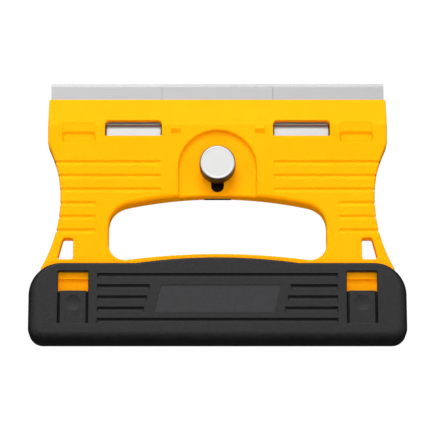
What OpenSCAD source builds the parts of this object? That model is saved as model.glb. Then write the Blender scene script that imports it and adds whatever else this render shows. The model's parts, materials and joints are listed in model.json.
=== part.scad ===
// Window scraper with three blades on a sliding carrier, a clamp knob and a pull-off cover.
// It lies on its back: X across the blade row, +Y towards the edges, +Z out of the front face.

/* [Blades] */
// Width of one blade
blade_w = 40; // [34:0.5:46]
// Height of one blade, edge to edge
blade_h = 15.5; // [14:0.25:17]
// Thickness of a blade
blade_t = 0.4; // [0.3:0.05:0.6]
// Gap between neighbouring blades
blade_gap = 0.1; // [0.05:0.05:0.3]
// Width of the ground bevel along an edge
bevel_w = 1.2; // [0.6:0.1:2]
// Thickness left at a ground edge
edge_t = 0.06; // [0.04:0.01:0.12]
// How far the edges stand out of the nose
blade_reach = 6.5; // [5:0.25:8]
// How far the edges draw back inside the nose
tuck = 0.4; // [0.2:0.1:1]
// Diameter of the locating pins
pin_d = 3; // [2:0.1:4]
// Distance of a pin from the middle of its blade
pin_spread = 12; // [8:0.5:14]
// Distance of a pin from the back of its blade
pin_back = 2.6; // [2.4:0.1:4]

/* [Body] */
// Finger hole's top edge to the nose edge
upper_h = 36.8; // [35:0.2:42]
// Body beyond the blade row at each end
nose_margin = 0.55; // [0.2:0.05:2]
// Thickness of the body
body_t = 10.5; // [9.5:0.1:13]
// Height of the nose edge above the back
lip_z = 5.9; // [5.4:0.1:7]
// Length of the sloping nose
nose_len = 10.7; // [8:0.1:12]
// How far the waist is drawn in from the nose
waist_in = 4.8; // [3:0.2:7]
// Radius of the waist above its narrowest place
waist_top_r = 46; // [42:1:60]
// Radius of the waist below its narrowest place
waist_low_r = 52; // [48:1:70]
// Waist's narrowest place below the finger hole's top edge
waist_drop = 1.4; // [0:0.2:4]
// Handle bar beyond the nose at each end
bar_extra = 1.75; // [0.8:0.05:3]
// Bar above the cover at the middle of the finger hole
bar_rim = 1.75; // [1:0.05:4]
// Back wall under the blade carrier
rear_wall = 2.4; // [2.2:0.1:3]
// Thickness of the rear lip at the nose edge
rear_lip = 0.5; // [0.3:0.1:0.8]
// Length of the slope behind the rear lip
rear_slope = 4; // [2:0.5:8]
// Front wall over the hollows
front_wall = 2; // [1.6:0.1:2.6]
// Wall left round the hollows
core_wall = 3; // [2:0.1:3.5]
// Hollow's distance from a screw
core_gap = 5; // [4:0.1:6]

/* [Finger hole] */
// Width of the pillar between the hole and the waist
pillar_w = 17.25; // [15.5:0.05:20]
// Height of the hole at its middle
hole_h = 21.6; // [20:0.1:28]
// Radius of the hole's upper edge
hole_top_r = 150; // [120:5:220]
// Radius of the hole's lower edge
hole_low_r = 234; // [180:2:320]
// Radius of the hole's upper corners
hole_corner_top = 8.5; // [6:0.5:10]
// Radius of the hole's lower corners
hole_corner_low = 6; // [4:0.5:8]
// How much wider the hole and slots are at the back
back_flare = 0.8; // [0.4:0.1:1.4]

/* [Front details] */
// Inner end of a window
window_in = 19.9; // [18.5:0.1:22]
// Solid between a window and a catch recess
window_gap = 3.6; // [3:0.1:8]
// Height of a window
window_h = 6; // [5:0.1:6.5]
// Window below the nose edge
window_drop = 8.9; // [8.4:0.1:9.4]
// Corner radius at a window's top
window_r = 1.6; // [0.5:0.1:2.4]
// Length of a catch recess
catch_w = 11.4; // [10.4:0.1:12]
// Catch recess above the crease of the nose
catch_rise = 1; // [0.5:0.1:2]
// Height of the catch's upper floor
catch_ramp_h = 3.8; // [3:0.1:4.4]
// Height of the catch's pocket
catch_pocket_h = 3.8; // [3:0.1:4.4]
// Depth of the catch's upper floor
catch_ramp_d = 0.5; // [0.3:0.05:0.8]
// Depth of the catch's pocket
catch_pocket_d = 1.3; // [1:0.05:1.6]
// Nub's middle from the centre line
nub_x = 15; // [13:0.1:16]
// Width of a nub
nub_w = 3.2; // [2:0.1:4]
// Height of a nub
nub_h = 1; // [0.6:0.1:1.2]
// Length of a nub's upper slope
nub_up = 1.8; // [1:0.1:2.4]
// Length of a nub's lower slope
nub_down = 1.6; // [1:0.1:3]
// Radius of the arched recess
arch_r = 13.8; // [12:0.1:15]
// Middle of the arch below the stud
arch_drop = 0.45; // [0:0.05:2]
// Thickness of the clamped panel
panel_t = 3.8; // [3:0.1:4.4]
// Panel left below the stud's slot
slot_rim = 1.4; // [1.2:0.05:3]
// First grip groove below the nose edge
groove_drop = 24.3; // [23.5:0.1:25]
// Distance between grip grooves
groove_pitch = 5.02; // [4.6:0.02:5.2]
// Inner end of the three long grooves
groove_in = 20; // [18:0.1:24]
// Inner end of the three short grooves from the finger hole
groove_margin = 4.4; // [3:0.1:6]
// Depth of a grip groove
groove_d = 0.5; // [0.3:0.05:0.8]
// Length of a groove's gentle side
groove_run = 1.7; // [1:0.1:2.4]
// Length of a groove's steep side
groove_steep = 0.5; // [0.1:0.05:0.7]
// Diameter of the nick at a groove's outer end
nick_d = 1.4; // [1:0.1:2]
// Depth of that nick
nick_depth = 0.5; // [0.2:0.05:0.6]
// Inner side of a lanyard slot, in from the waist
lanyard_inset = 4.8; // [4.2:0.1:5.4]
// Width of a lanyard slot at its top
lanyard_top_w = 3.6; // [3:0.1:4]
// Width of a lanyard slot at its bottom
lanyard_low_w = 5.6; // [4.2:0.1:6]
// Height of a lanyard slot
lanyard_h = 7.7; // [6:0.1:9]
// Bar between a lanyard slot and the cover
lanyard_rim = 1.9; // [1.2:0.1:3]

/* [Carrier and clamp] */
// Thickness of the carrier plate
carrier_t = 1.2; // [1:0.05:1.6]
// Carrier's front edge behind the nose edge
carrier_set = 0.8; // [0.4:0.1:2]
// Carrier in from the ends of the blade row
carrier_margin = 0.2; // [0.1:0.05:0.5]
// Carrier's narrow part in from the ends of the blade row
carrier_inset = 12; // [11:0.1:13]
// Length of the carrier behind the blades
carrier_back = 8; // [7.6:0.1:9]
// Half width of the tail under the knob
tail_half = 4.8; // [4.6:0.1:5.6]
// Thickness of the clamp plate
plate_t = 0.7; // [0.5:0.05:0.9]
// Clamp plate in from the ends of the blade row
plate_inset = 0.4; // [0.2:0.1:1]
// Clamp plate beyond its pins
plate_edge = 0.8; // [0.5:0.1:1.2]
// Clamp plate beyond its screw heads
plate_rim = 0.4; // [0.2:0.1:0.6]
// Height of the clamp plate's raised tabs above the plate
tab_rise = 1.95; // [1.5:0.05:2.2]
// Gap between a tab and the ends of its window
tab_gap = 0.45; // [0.3:0.05:0.8]
// Slit beside a tab
tab_side = 0.8; // [0.6:0.1:1.3]
// Tab beyond the window's lower edge
tab_under = 2; // [0.5:0.1:2.4]
// Length of the bend that raises a tab
tab_bend = 0.9; // [0.7:0.1:1.2]
// Inner clamp screw from the centre line
clamp_screw_in = 9; // [7:0.2:11]
// Outer clamp screw from the carrier's end
clamp_screw_edge = 3.2; // [2.8:0.1:3.6]
// Clamp screws behind the blades
clamp_screw_back = 4.6; // [4:0.1:5.2]
// Diameter of a clamp screw
clamp_screw_d = 2.5; // [2:0.1:3]
// Diameter of a clamp screw's countersunk head
clamp_head_d = 4.2; // [3.6:0.1:4.6]
// Side of the square clamp nut
nut_w = 7; // [6.4:0.1:7.4]
// Thickness of the clamp nut
nut_t = 1.9; // [1.6:0.05:2]
// Tail left behind the nut
nut_wall = 0.6; // [0.4:0.1:1]
// Tail left in front of the nut
boss_wall = 1.2; // [0.6:0.1:2]
// Tip of the tail behind the finger hole's upper edge
tail_set = 0.15; // [0.1:0.05:1]

/* [Knob] */
// Diameter of the knob
knob_d = 12.8; // [10:0.2:16]
// Height of the knob
knob_h = 6; // [5.2:0.1:8]
// Chamfer round the knob
knob_chamfer = 0.6; // [0.3:0.1:1]
// Width of the rim round the knob's face
knob_rim = 0.6; // [0.3:0.1:1.2]
// Depth of the knob's face below its rim
face_d = 0.25; // [0.1:0.05:0.5]
// Depth of the stud in the knob
stud_in = 4.5; // [3:0.1:4.8]
// Diameter of the stud
stud_d = 3.9; // [3:0.1:4.2]
// Diameter of the washer
washer_d = 9; // [8:0.1:10]
// Thickness of the washer
washer_t = 0.5; // [0.3:0.1:1]

/* [Cover] */
// Height of the cover at its ends
cover_h = 27.9; // [27:0.1:31]
// Rise of the cover's edge at the middle
cover_rise = 2.05; // [1:0.05:2.6]
// Half width of the risen edge
cover_rise_half = 28.6; // [20:0.2:36]
// Front wall of the cover
cover_front = 2.2; // [2:0.1:2.8]
// Back wall of the cover
cover_back = 1.2; // [1:0.05:1.4]
// Side wall of the cover
cover_side = 3.8; // [3.4:0.1:6]
// Closed end of the cover
cover_end = 2.2; // [1.6:0.1:3]
// Radius of the cover's upper corners
cover_top_r = 11.2; // [6:0.1:12]
// Radius of the cover's lower corners
cover_low_r = 5; // [4.6:0.1:8]
// Rounding of the cover's sides and closed end
cover_edge_r = 3.3; // [2:0.1:4]
// First rib groove below the cover's edge
rib_drop = 4; // [3.4:0.1:5]
// Distance between rib grooves
rib_pitch = 4.02; // [3.6:0.02:4.2]
// Rib grooves end this far from the snap tongues
rib_margin = 3.9; // [3:0.1:8]
// Depth of a rib groove
rib_d = 0.8; // [0.3:0.05:1]
// Length of a rib groove's gentle side
rib_run = 1.7; // [0.8:0.1:2]
// Length of a rib groove's steep side
rib_steep = 0.25; // [0.1:0.05:0.5]
// Half width left free of rib grooves for the panel
panel_half = 24.6; // [18:0.2:27]
// Slant of the panel from one rib groove to the next
panel_slant = 1; // [0:0.05:2]
// Rib grooves end this far from the panel
badge_gap = 3.6; // [2:0.1:5]
// Height of the panel
badge_h = 9.8; // [8:0.1:10.4]
// Depth of the panel
badge_d = 0.25; // [0.1:0.05:0.5]

/* [Snap tongues] */
// Middle of a tongue, in from the end of the nose
snap_inset = 9.9; // [9:0.05:10.5]
// Width of a tongue
tongue_w = 9.1; // [8:0.1:9.8]
// Length of a tongue
tongue_len = 11.8; // [10:0.1:12.4]
// Thickness of a tongue
tongue_t = 1.2; // [1:0.1:1.4]
// Slot beside a tongue
tongue_slot = 0.78; // [0.6:0.02:1]
// Gap left in that slot by the tongue's skirt
skirt_gap = 0.2; // [0.15:0.05:0.3]
// Thickness of the skirt at its edge
skirt_t = 0.3; // [0.2:0.1:0.6]
// Start of the skirt's slope below the top of the tongue
skirt_top = 0.3; // [0.2:0.05:0.5]
// Skirt's end before the tip of the tongue
skirt_end = 0.2; // [0.1:0.05:0.5]
// Open window above a tongue
tongue_window = 6.8; // [5:0.1:7.2]
// Cover's edge to that window
tongue_drop = 3.1; // [2.6:0.1:4.6]
// Length of the hook at a tongue's free end
hook_len = 1.4; // [1.2:0.1:2]
// Depth of the hook below its tongue
hook_d = 1.7; // [1.5:0.05:1.85]
// Slope of the hook's holding side
hook_hold = 0.4; // [0.1:0.1:0.5]
// Slope of the hook's leading side
hook_lead = 0.6; // [0.3:0.1:0.7]
// Depth of the snap pocket in the bar
snap_d = 1.2; // [1.15:0.05:1.5]
// Length of the ridge that holds the hook
ridge_len = 1.4; // [1:0.1:2]
// Length of the slope that leads the hook over the ridge
ridge_lead = 1.5; // [0.5:0.1:2.5]
// Room beside a tongue's hook in the bar
snap_room = 0.7; // [0.4:0.1:1]
// Bar left between the snap pocket and the cover's edge
snap_rim = 5.4; // [1.6:0.1:6]
// Diameter of the thumb dish
dish_d = 5.6; // [4:0.1:7]
// Depth of the thumb dish
dish_depth = 0.3; // [0.1:0.05:0.5]
// Middle of the thumb dish below the tongue's free end
dish_drop = 4.4; // [4:0.1:6]

/* [Screws] */
// Shank diameter of the shell screws
screw_d = 2.5; // [2.2:0.1:3]
// Head diameter of the shell screws
screw_head_d = 5; // [4:0.1:5.4]
// Head height of the shell screws
screw_head_h = 1.6; // [1.2:0.1:1.7]
// Depth of the hole for a head
head_depth = 2; // [1.8:0.1:2.2]
// Front wall over a screw's tip
tip_wall = 1.5; // [1.2:0.1:2]
// Length of the cross in a head
cross_len = 2.6; // [2:0.1:3.2]
// Width of the cross in a head
cross_w = 0.7; // [0.5:0.05:0.9]
// Depth of the cross in a head
cross_d = 0.9; // [0.5:0.1:1]
// Width of the slot in a clamp screw's head
slit_w = 0.6; // [0.4:0.05:0.8]
// Depth of the slot in a clamp screw's head
slit_d = 0.25; // [0.15:0.05:0.35]
// Upper screws beside the arch
screw_arch_gap = 12.2; // [11.6:0.1:14]
// Upper screws above the finger hole's top edge
screw_rise = 6; // [5:0.1:6.6]
// Shoulder screws in from the waist
screw_waist_gap = 5.2; // [4.4:0.1:6]
// Pillar screws beside the finger hole
screw_hole_gap = 8; // [6:0.1:9]
// Pillar screws below the finger hole's top edge
screw_fall = 11; // [10:0.1:12]
// Bar screws in from the finger hole's side
screw_bar_gap = 8.5; // [7.5:0.1:9.5]

/* [Fits] */
// Running gap above and below the carrier
run_gap = 0.15; // [0.1:0.01:0.25]
// Gap beside sliding pieces and round the bar
side_gap = 0.3; // [0.2:0.05:0.4]
// Gap between the cover's back wall and the body
back_gap = 0.2; // [0.1:0.05:0.3]
// Gap beside the nut, and round pins in the blades
seat_gap = 0.1; // [0.05:0.01:0.15]
// Radial gap of a turning or threaded round fit
turn_gap = 0.05; // [0.02:0.01:0.08]
// Radial gap of a tight round fit
tight_gap = 0.025; // [0.01:0.005:0.04]
// Radial gap of a hole round a loose shank
hole_gap = 0.3; // [0.2:0.05:0.4]

/* [Hidden] */
$fn = 48;
// Overlap that keeps joined and cut faces apart, and a length beyond the whole tool
eps = 0.02;
far = 200;

// Places along the tool, from the cover's end to the blade edges
travel = blade_reach + tuck;
overall = cover_h + cover_rise + bar_rim + hole_h + upper_h + blade_reach;
cover_end_y = -overall / 2;
mouth_y = cover_end_y + cover_h;
hole_low_y = mouth_y + cover_rise + bar_rim;
hole_top_y = hole_low_y + hole_h;
nose_y = hole_top_y + upper_h;
tip_y = nose_y + blade_reach;
crease_y = nose_y - nose_len;
bar_end_y = cover_end_y + cover_end + side_gap;
waist_y = hole_top_y - waist_drop;
blade_back_y = tip_y - blade_h;

// Half widths, from the blade row outwards
row_half = 1.5 * blade_w;
nose_half = row_half + nose_margin;
waist_half = nose_half - waist_in;
hole_half = waist_half - pillar_w;
bar_half = nose_half + bar_extra;
cover_half = bar_half + side_gap + cover_side;

// Heights of the layers, from the back
rear_step = cover_back + back_gap;
z_carrier = rear_wall + run_gap;
z_blade = z_carrier + carrier_t;
z_plate = z_blade + blade_t;
z_plate_top = z_plate + plate_t;
z_part = z_plate_top + run_gap;
z_panel = z_part + panel_t;
z_knob = z_panel + washer_t;
z_lip = z_plate + run_gap;
z_cover_in = body_t + side_gap;
cover_t = z_cover_in + cover_front;

// Carrier, clamp and knob
carrier_half = row_half - carrier_inset;
rib_y = blade_back_y - blade_gap;
carrier_end_y = rib_y - carrier_back;
pin_y = blade_back_y + pin_back;
slot_half = stud_d / 2 + hole_gap;
stud_y = hole_top_y + slot_rim + slot_half + travel;
arch_y = stud_y - arch_drop;
nut_half = nut_w / 2 + seat_gap;
tail_end_y = stud_y - nut_half - nut_wall;
tail_tip_y = hole_top_y + tail_set;
clamp_screw_y = rib_y - clamp_screw_back;
clamp_screw_x = [clamp_screw_in, carrier_half - clamp_screw_edge];
plate_half = row_half - plate_inset;
plate_front_y = pin_y + pin_d / 2 + plate_edge;
plate_back_y = clamp_screw_y - clamp_head_d / 2 - plate_rim;

// Snap tongues, and the catch recesses that end level with their outer sides
snap_x = nose_half - snap_inset;
tongue_in = snap_x - tongue_w / 2;
tongue_out = snap_x + tongue_w / 2;
tongue_top_y = mouth_y - tongue_drop - tongue_window;
tongue_root_y = tongue_top_y - tongue_len;
tongue_z = cover_t - cover_front / 2;
ridge_y = tongue_top_y - hook_len - side_gap;
catch_in = tongue_out - catch_w;
catch_top_y = crease_y + catch_rise;

// Windows, and the raised tabs that show in them
window_out = catch_in - window_gap;
window_top_y = nose_y - window_drop;
window_low_y = window_top_y - window_h;
tab_in = window_in + tab_gap;
tab_out = window_out - tab_gap;
tab_front_y = window_top_y + side_gap;
tab_end_y = window_low_y - tab_under;
z_tab = z_plate_top + tab_rise;

// Cover's risen edge, and the step in the back that takes the cover when it sits on the nose
rise_r = (cover_rise_half * cover_rise_half + cover_rise * cover_rise) / (2 * cover_rise);
step_y = nose_y + side_gap - (cover_h - cover_end) - cover_rise;
rib_half = tongue_in - rib_margin;

// Shell screws: two beside the arch, two at the shoulders, two in the pillars; two more in the bar
arch_screw = [arch_r + screw_arch_gap, hole_top_y + screw_rise];
shoulder_screw = [waist_half - screw_waist_gap, hole_top_y + screw_rise];
pillar_screw = [hole_half + screw_hole_gap, hole_top_y - screw_fall];
bar_screw = [hole_half - screw_bar_gap, (mouth_y + bar_end_y) / 2];
screw_spots = [arch_screw, shoulder_screw, pillar_screw];
bar_seat = rear_step + head_depth;
pilot_top = body_t - tip_wall;
screw_tip = pilot_top - hole_gap;

yellow = "#f7b500";
black = "#2c2c2e";
steel = "#c4c7ca";
alloy = "#d9dadb";
zinc = "#a9adb2";

function arc(c, r, a0, a1, n) = [for (i = [0:n]) let (a = a0 + (a1 - a0) * i / n) c + r * [cos(a), sin(a)]];
function groove_y(i) = nose_y - groove_drop - i * groove_pitch;
function waist_r(y) = y > waist_y ? waist_top_r : waist_low_r;
function waist_x(y) = waist_half + waist_r(y) - sqrt(pow(waist_r(y), 2) - pow(y - waist_y, 2));

module both_sides() {
  children();
  mirror([1, 0, 0]) children();
}

module along_x(x0, x1) {
  translate([x0, 0, 0]) rotate([90, 0, 90]) linear_extrude(x1 - x0) children();
}

module block(x0, x1, y0, y1, z0, z1) {
  translate([x0, y0, z0]) cube([x1 - x0, y1 - y0, z1 - z0]);
}

module pole(p, d, z0, z1) {
  translate([p.x, p.y, z0]) cylinder(d = d, h = z1 - z0);
}

// Half of a circle that draws in the waist, above or below its narrowest place
module waist_cut(r, y0) {
  intersection() {
    translate([waist_half + r, waist_y]) circle(r, $fn = 160);
    translate([waist_half, y0]) square([2 * r, 2 * r]);
  }
}

// Plan of the body: a wide nose and bar, drawn in at the waist by two large circles on each side
module body_plan() {
  difference() {
    union() {
      translate([-nose_half, waist_y]) square([2 * nose_half, nose_y - waist_y]);
      translate([-bar_half, bar_end_y]) square([2 * bar_half, waist_y - bar_end_y]);
    }
    both_sides() {
      waist_cut(waist_top_r, waist_y);
      waist_cut(waist_low_r, waist_y - 2 * waist_low_r);
    }
  }
}

// Finger hole: two long arcs joined by round corners; g makes it larger all round
module hole_plan(g = 0) {
  x_top = hole_half - hole_corner_top;
  y_top = hole_top_y - hole_top_r;
  c_top = y_top + sqrt(pow(hole_top_r - hole_corner_top, 2) - pow(x_top, 2));
  a_top = atan2(c_top - y_top, x_top);
  x_low = hole_half - hole_corner_low;
  y_low = hole_low_y - hole_low_r;
  c_low = y_low + sqrt(pow(hole_low_r + hole_corner_low, 2) - pow(x_low, 2));
  a_low = atan2(c_low - y_low, x_low);
  polygon(concat(
    arc([0, y_top], hole_top_r + g, a_top, 180 - a_top, 24),
    arc([-x_top, c_top], hole_corner_top + g, 180 - a_top, 180, 10),
    arc([-x_low, c_low], hole_corner_low + g, 180, 360 - a_low, 10),
    arc([0, y_low], hole_low_r - g, 180 - a_low, a_low, 24),
    arc([x_low, c_low], hole_corner_low + g, 180 + a_low, 360, 10),
    arc([x_top, c_top], hole_corner_top + g, 0, a_top, 10)));
}

// Lanyard slot beside the finger hole, wider at its bottom; g makes it larger all round
module lanyard_plan(g = 0) {
  x0 = waist_half - lanyard_inset;
  y0 = mouth_y + lanyard_rim;
  polygon([[x0 - g, y0 - g], [x0 + lanyard_low_w + g, y0 - g],
           [x0 + lanyard_top_w + g, y0 + lanyard_h + g], [x0 - g, y0 + lanyard_h + g]]);
}

// Plan of the cover: round corners and a gently risen middle; g makes it larger all round
module cover_plan(g = 0) {
  x_top = cover_half - cover_top_r;
  x_low = cover_half - cover_low_r;
  a = asin(cover_rise_half / rise_r);
  polygon(concat(
    arc([x_low, cover_end_y + cover_low_r], cover_low_r + g, -90, 0, 8),
    arc([x_top, mouth_y - cover_top_r], cover_top_r + g, 0, 90, 10),
    arc([0, mouth_y + cover_rise - rise_r], rise_r + g, 90 - a, 90 + a, 24),
    arc([-x_top, mouth_y - cover_top_r], cover_top_r + g, 90, 180, 10),
    arc([-x_low, cover_end_y + cover_low_r], cover_low_r + g, 180, 270, 8)));
}

module window_plan() {
  polygon(concat([[window_in, window_low_y], [window_out, window_low_y]],
    arc([window_out - window_r, window_top_y - window_r], window_r, 0, 90, 6),
    arc([window_in + window_r, window_top_y - window_r], window_r, 90, 180, 6)));
}

// Hollow that lightens both shells, clear of the screws, the finger hole and the carrier
module core_plan() {
  top_y = carrier_end_y - travel - side_gap - core_wall;
  pillar_y = pillar_screw.y + core_gap;
  polygon([[hole_half + core_wall, pillar_y], [waist_half - core_wall, pillar_y],
           [waist_half - core_wall, hole_top_y], [shoulder_screw.x - core_gap, hole_top_y],
           [shoulder_screw.x - core_gap, top_y], [arch_screw.x + core_gap, top_y],
           [arch_screw.x + core_gap, hole_top_y], [hole_half + core_wall, hole_top_y]]);
}

// A grip groove: steep on its upper side, gentle on its lower side
module grip_groove(y, x0, x1, z, d, run, steep) {
  along_x(x0, x1) polygon([[y, z + eps], [y - steep, z - d], [y - run, z + eps]]);
}

// Hollows in the bar, between its screws and the snap pockets
module bar_hollow(x0, x1) {
  block(x0, x1, bar_end_y + core_wall, mouth_y - core_wall, z_part - eps, body_t - front_wall);
}

module front_shell_hollows() {
  translate([0, 0, z_part - eps]) linear_extrude(body_t - front_wall - z_part) both_sides() core_plan();
  bar_hollow(core_gap - bar_screw.x, bar_screw.x - core_gap);
  both_sides() {
    bar_hollow(bar_screw.x + core_gap, tongue_in - snap_room - front_wall);
    block(tab_in - side_gap, tab_out + side_gap, tab_end_y - travel - side_gap,
          tab_front_y + side_gap, z_part - eps, z_tab + side_gap);
    for (p = concat(screw_spots, [bar_screw])) pole(p, screw_d + 2 * tight_gap, z_part - eps, pilot_top);
  }
}

// Six grip grooves on each side
module front_shell_grips() {
  for (i = [0:5]) both_sides()
    grip_groove(groove_y(i), i < 3 ? groove_in : hole_half + groove_margin, far / 2, body_t, groove_d,
                groove_run, groove_steep);
}

// A nick in the outline of both shells at the end of each grip groove
module side_nicks() {
  for (i = [0:5]) {
    y = groove_y(i) - groove_run / 3;
    both_sides() pole([waist_x(y) + nick_d / 2 - nick_depth, y], nick_d, -eps, body_t + eps);
  }
}

// Catch recess near the nose: an upper floor, then a deeper pocket for the hook
module catch_recess() {
  ledge_y = catch_top_y - catch_ramp_h;
  block(catch_in, tongue_out, ledge_y, catch_top_y, body_t - catch_ramp_d, body_t + eps);
  block(catch_in, tongue_out, ledge_y - catch_pocket_h, ledge_y + eps, body_t - catch_pocket_d, body_t + eps);
}

// Snap pocket in the bar, and the way into it over a sloping ridge
module snap_pocket() {
  floor_z = body_t - snap_d;
  block(tongue_in - snap_room, tongue_out + snap_room, ridge_y, mouth_y - snap_rim, floor_z, body_t + eps);
  along_x(tongue_in - snap_room, tongue_out + snap_room)
    polygon([[bar_end_y - eps, floor_z], [ridge_y - ridge_len - ridge_lead, floor_z],
             [ridge_y - ridge_len, body_t + eps], [bar_end_y - eps, body_t + eps]]);
}

// Arched recess, open to the finger hole, and the stud's slot through its panel
module front_shell_arch() {
  pole([0, arch_y], 2 * arch_r, z_panel, body_t + eps);
  block(-arch_r, arch_r, hole_low_y, arch_y, z_panel, body_t + eps);
  for (y = [stud_y, stud_y - travel]) pole([0, y], 2 * slot_half, z_part - eps, z_panel + eps);
  block(-slot_half, slot_half, stud_y - travel, stud_y, z_part - eps, z_panel + eps);
}

// Small raised nub below the crease of the nose
module nub() {
  peak_y = crease_y - nub_up;
  along_x(nub_x - nub_w / 2, nub_x + nub_w / 2)
    polygon([[crease_y, body_t - nub_h], [crease_y, body_t], [peak_y, body_t + nub_h],
             [peak_y - nub_down, body_t], [peak_y - nub_down, body_t - nub_h]]);
}

module front_shell() color(yellow) difference() {
  union() {
    intersection() {
      translate([0, 0, z_part]) linear_extrude(body_t - z_part) body_plan();
      along_x(-far, far) polygon([[-far, z_part], [nose_y, z_part], [nose_y, lip_z],
                                  [crease_y, body_t], [-far, body_t]]);
    }
    block(-nose_half, nose_half, plate_front_y + side_gap, nose_y, z_lip, z_part + eps);
    both_sides() nub();
  }
  linear_extrude(far) hole_plan();
  linear_extrude(far) both_sides() lanyard_plan();
  linear_extrude(far) both_sides() window_plan();
  front_shell_hollows();
  front_shell_grips();
  side_nicks();
  both_sides() {
    catch_recess();
    snap_pocket();
  }
  front_shell_arch();
}

// Rooms for the carrier and its tail, wide for the blades and narrower behind them
module rear_shell_channels() {
  block(-far / 2, far / 2, blade_back_y - travel - side_gap, far, rear_wall, far);
  block(-carrier_half - side_gap, carrier_half + side_gap, carrier_end_y - travel - side_gap, far,
        rear_wall, far);
  block(-tail_half - side_gap, tail_half + side_gap, hole_low_y, carrier_end_y, rear_wall, far);
}

module rear_shell() color(yellow) difference() {
  linear_extrude(z_part) body_plan();
  translate([0, 0, -eps]) {
    linear_extrude(far) hole_plan(back_flare);
    linear_extrude(far) both_sides() lanyard_plan(back_flare);
    linear_extrude(eps + rear_step) cover_plan(side_gap);
  }
  block(-far / 2, far / 2, step_y, far, -eps, rear_step);
  along_x(-far / 2, far / 2) polygon([[nose_y - rear_slope, rear_step - eps], [nose_y + eps, rear_step - eps],
                                      [nose_y + eps, rear_wall - rear_lip]]);
  rear_shell_channels();
  side_nicks();
  translate([0, 0, rear_wall]) linear_extrude(far) both_sides() core_plan();
  both_sides() {
    for (p = screw_spots) pole(p, screw_head_d + 2 * hole_gap, -eps, head_depth);
    pole(bar_screw, screw_head_d + 2 * hole_gap, 0, bar_seat);
    for (p = concat(screw_spots, [bar_screw])) pole(p, screw_d + 2 * hole_gap, 0, far);
  }
}

// A pan-head screw with a cross recess, driven from the back into the front shell
module back_screw(p, seat) difference() {
  union() {
    pole(p, screw_head_d, seat - screw_head_h, seat);
    pole(p, screw_d, seat - eps, screw_tip);
  }
  for (a = [0, 90]) translate([p.x, p.y, seat - screw_head_h]) rotate(a)
    cube([cross_len, cross_w, 2 * cross_d], center = true);
}

module shell_screws() color(steel) both_sides() for (p = screw_spots) back_screw(p, head_depth);

module bar_screws() color(steel) both_sides() back_screw(bar_screw, bar_seat);

// Countersunk clamp screw, and the same cone with some room as its hole
module clamp_screw(x, room = 0) {
  translate([x, clamp_screw_y, z_plate])
    cylinder(d1 = clamp_screw_d + 2 * room, d2 = clamp_head_d + 2 * room, h = plate_t);
  pole([x, clamp_screw_y], clamp_screw_d + 2 * room, z_carrier, z_plate + eps);
}

module each_clamp_screw(room = 0) {
  both_sides() for (x = clamp_screw_x) clamp_screw(x, room);
}

module clamp_screws() color(steel) difference() {
  each_clamp_screw();
  both_sides() for (x = clamp_screw_x)
    translate([x, clamp_screw_y, z_plate_top]) cube([2 * clamp_head_d, slit_w, 2 * slit_d], center = true);
}

// Pins stand through the carrier, the blades and the clamp plate
module each_pin(room, z0, z1) {
  for (i = [-1:1], s = [-1, 1])
    pole([i * blade_w + s * pin_spread, pin_y], pin_d + 2 * room, z0, z1);
}

module blade_pins() color(steel) each_pin(0, z_carrier, z_plate_top);

// Carrier: a wide plate under the blades, a rib behind them, and a tail with the nut's pocket. The tail's
// sheet closes the slot of the stud and ends in the upper wall of the finger hole.
module blade_carrier() color(zinc) difference() {
  union() {
    block(carrier_margin - row_half, row_half - carrier_margin, blade_back_y, nose_y - carrier_set,
          z_carrier, z_blade);
    block(-carrier_half, carrier_half, carrier_end_y, blade_back_y + eps, z_carrier, z_blade);
    block(-carrier_half, carrier_half, carrier_end_y, rib_y, z_blade - eps, z_plate);
    block(-tail_half, tail_half, tail_tip_y, carrier_end_y + eps, z_carrier, z_blade);
    block(-tail_half, tail_half, tail_end_y, stud_y + nut_half + boss_wall, z_carrier, z_part);
  }
  each_pin(tight_gap, 0, far);
  each_clamp_screw(turn_gap);
  block(-nut_half, nut_half, stud_y - nut_half, stud_y + nut_half, 0, z_carrier + nut_t);
  pole([0, stud_y], stud_d + 2 * hole_gap, 0, far);
}

// Raised tab of the clamp plate, bent twice from one sheet
module plate_tab() {
  turn = plate_t * tan(atan2(tab_rise, tab_bend) / 2);
  along_x(tab_in, tab_out) polygon([
    [tab_front_y + eps, z_plate], [tab_front_y + eps, z_plate_top], [tab_front_y - tab_bend, z_tab],
    [tab_end_y, z_tab], [tab_end_y, z_tab - plate_t], [tab_front_y - tab_bend - turn, z_tab - plate_t],
    [tab_front_y - turn, z_plate]]);
}

// Clamp plate: a strip over the blades, flats for the screws and two raised tabs
module clamp_plate() color(steel) difference() {
  union() {
    block(-plate_half, plate_half, tab_front_y, plate_front_y, z_plate, z_plate_top);
    block(tab_side - tab_in, tab_in - tab_side, plate_back_y, tab_front_y + eps, z_plate, z_plate_top);
    both_sides() {
      block(tab_out + tab_side, carrier_half, plate_back_y, tab_front_y + eps, z_plate, z_plate_top);
      plate_tab();
    }
  }
  each_pin(seat_gap, 0, far);
  each_clamp_screw(turn_gap);
}

// A two-edged blade: a flat strip ground to both long edges, with two pin holes
module blade(i) color(steel) difference() {
  x0 = (i - 0.5) * blade_w + blade_gap / 2;
  low = z_blade + (blade_t - edge_t) / 2;
  along_x(x0, x0 + blade_w - blade_gap) polygon([
    [blade_back_y, low], [blade_back_y + bevel_w, z_blade], [tip_y - bevel_w, z_blade], [tip_y, low],
    [tip_y, low + edge_t], [tip_y - bevel_w, z_plate], [blade_back_y + bevel_w, z_plate],
    [blade_back_y, low + edge_t]]);
  each_pin(seat_gap, 0, far);
}

module blade_left() blade(-1);
module blade_middle() blade(0);
module blade_right() blade(1);

module clamp_nut() color(steel) difference() {
  block(-nut_w / 2, nut_w / 2, stud_y - nut_w / 2, stud_y + nut_w / 2, z_carrier, z_carrier + nut_t);
  pole([0, stud_y], stud_d + 2 * turn_gap, 0, far);
}

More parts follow.
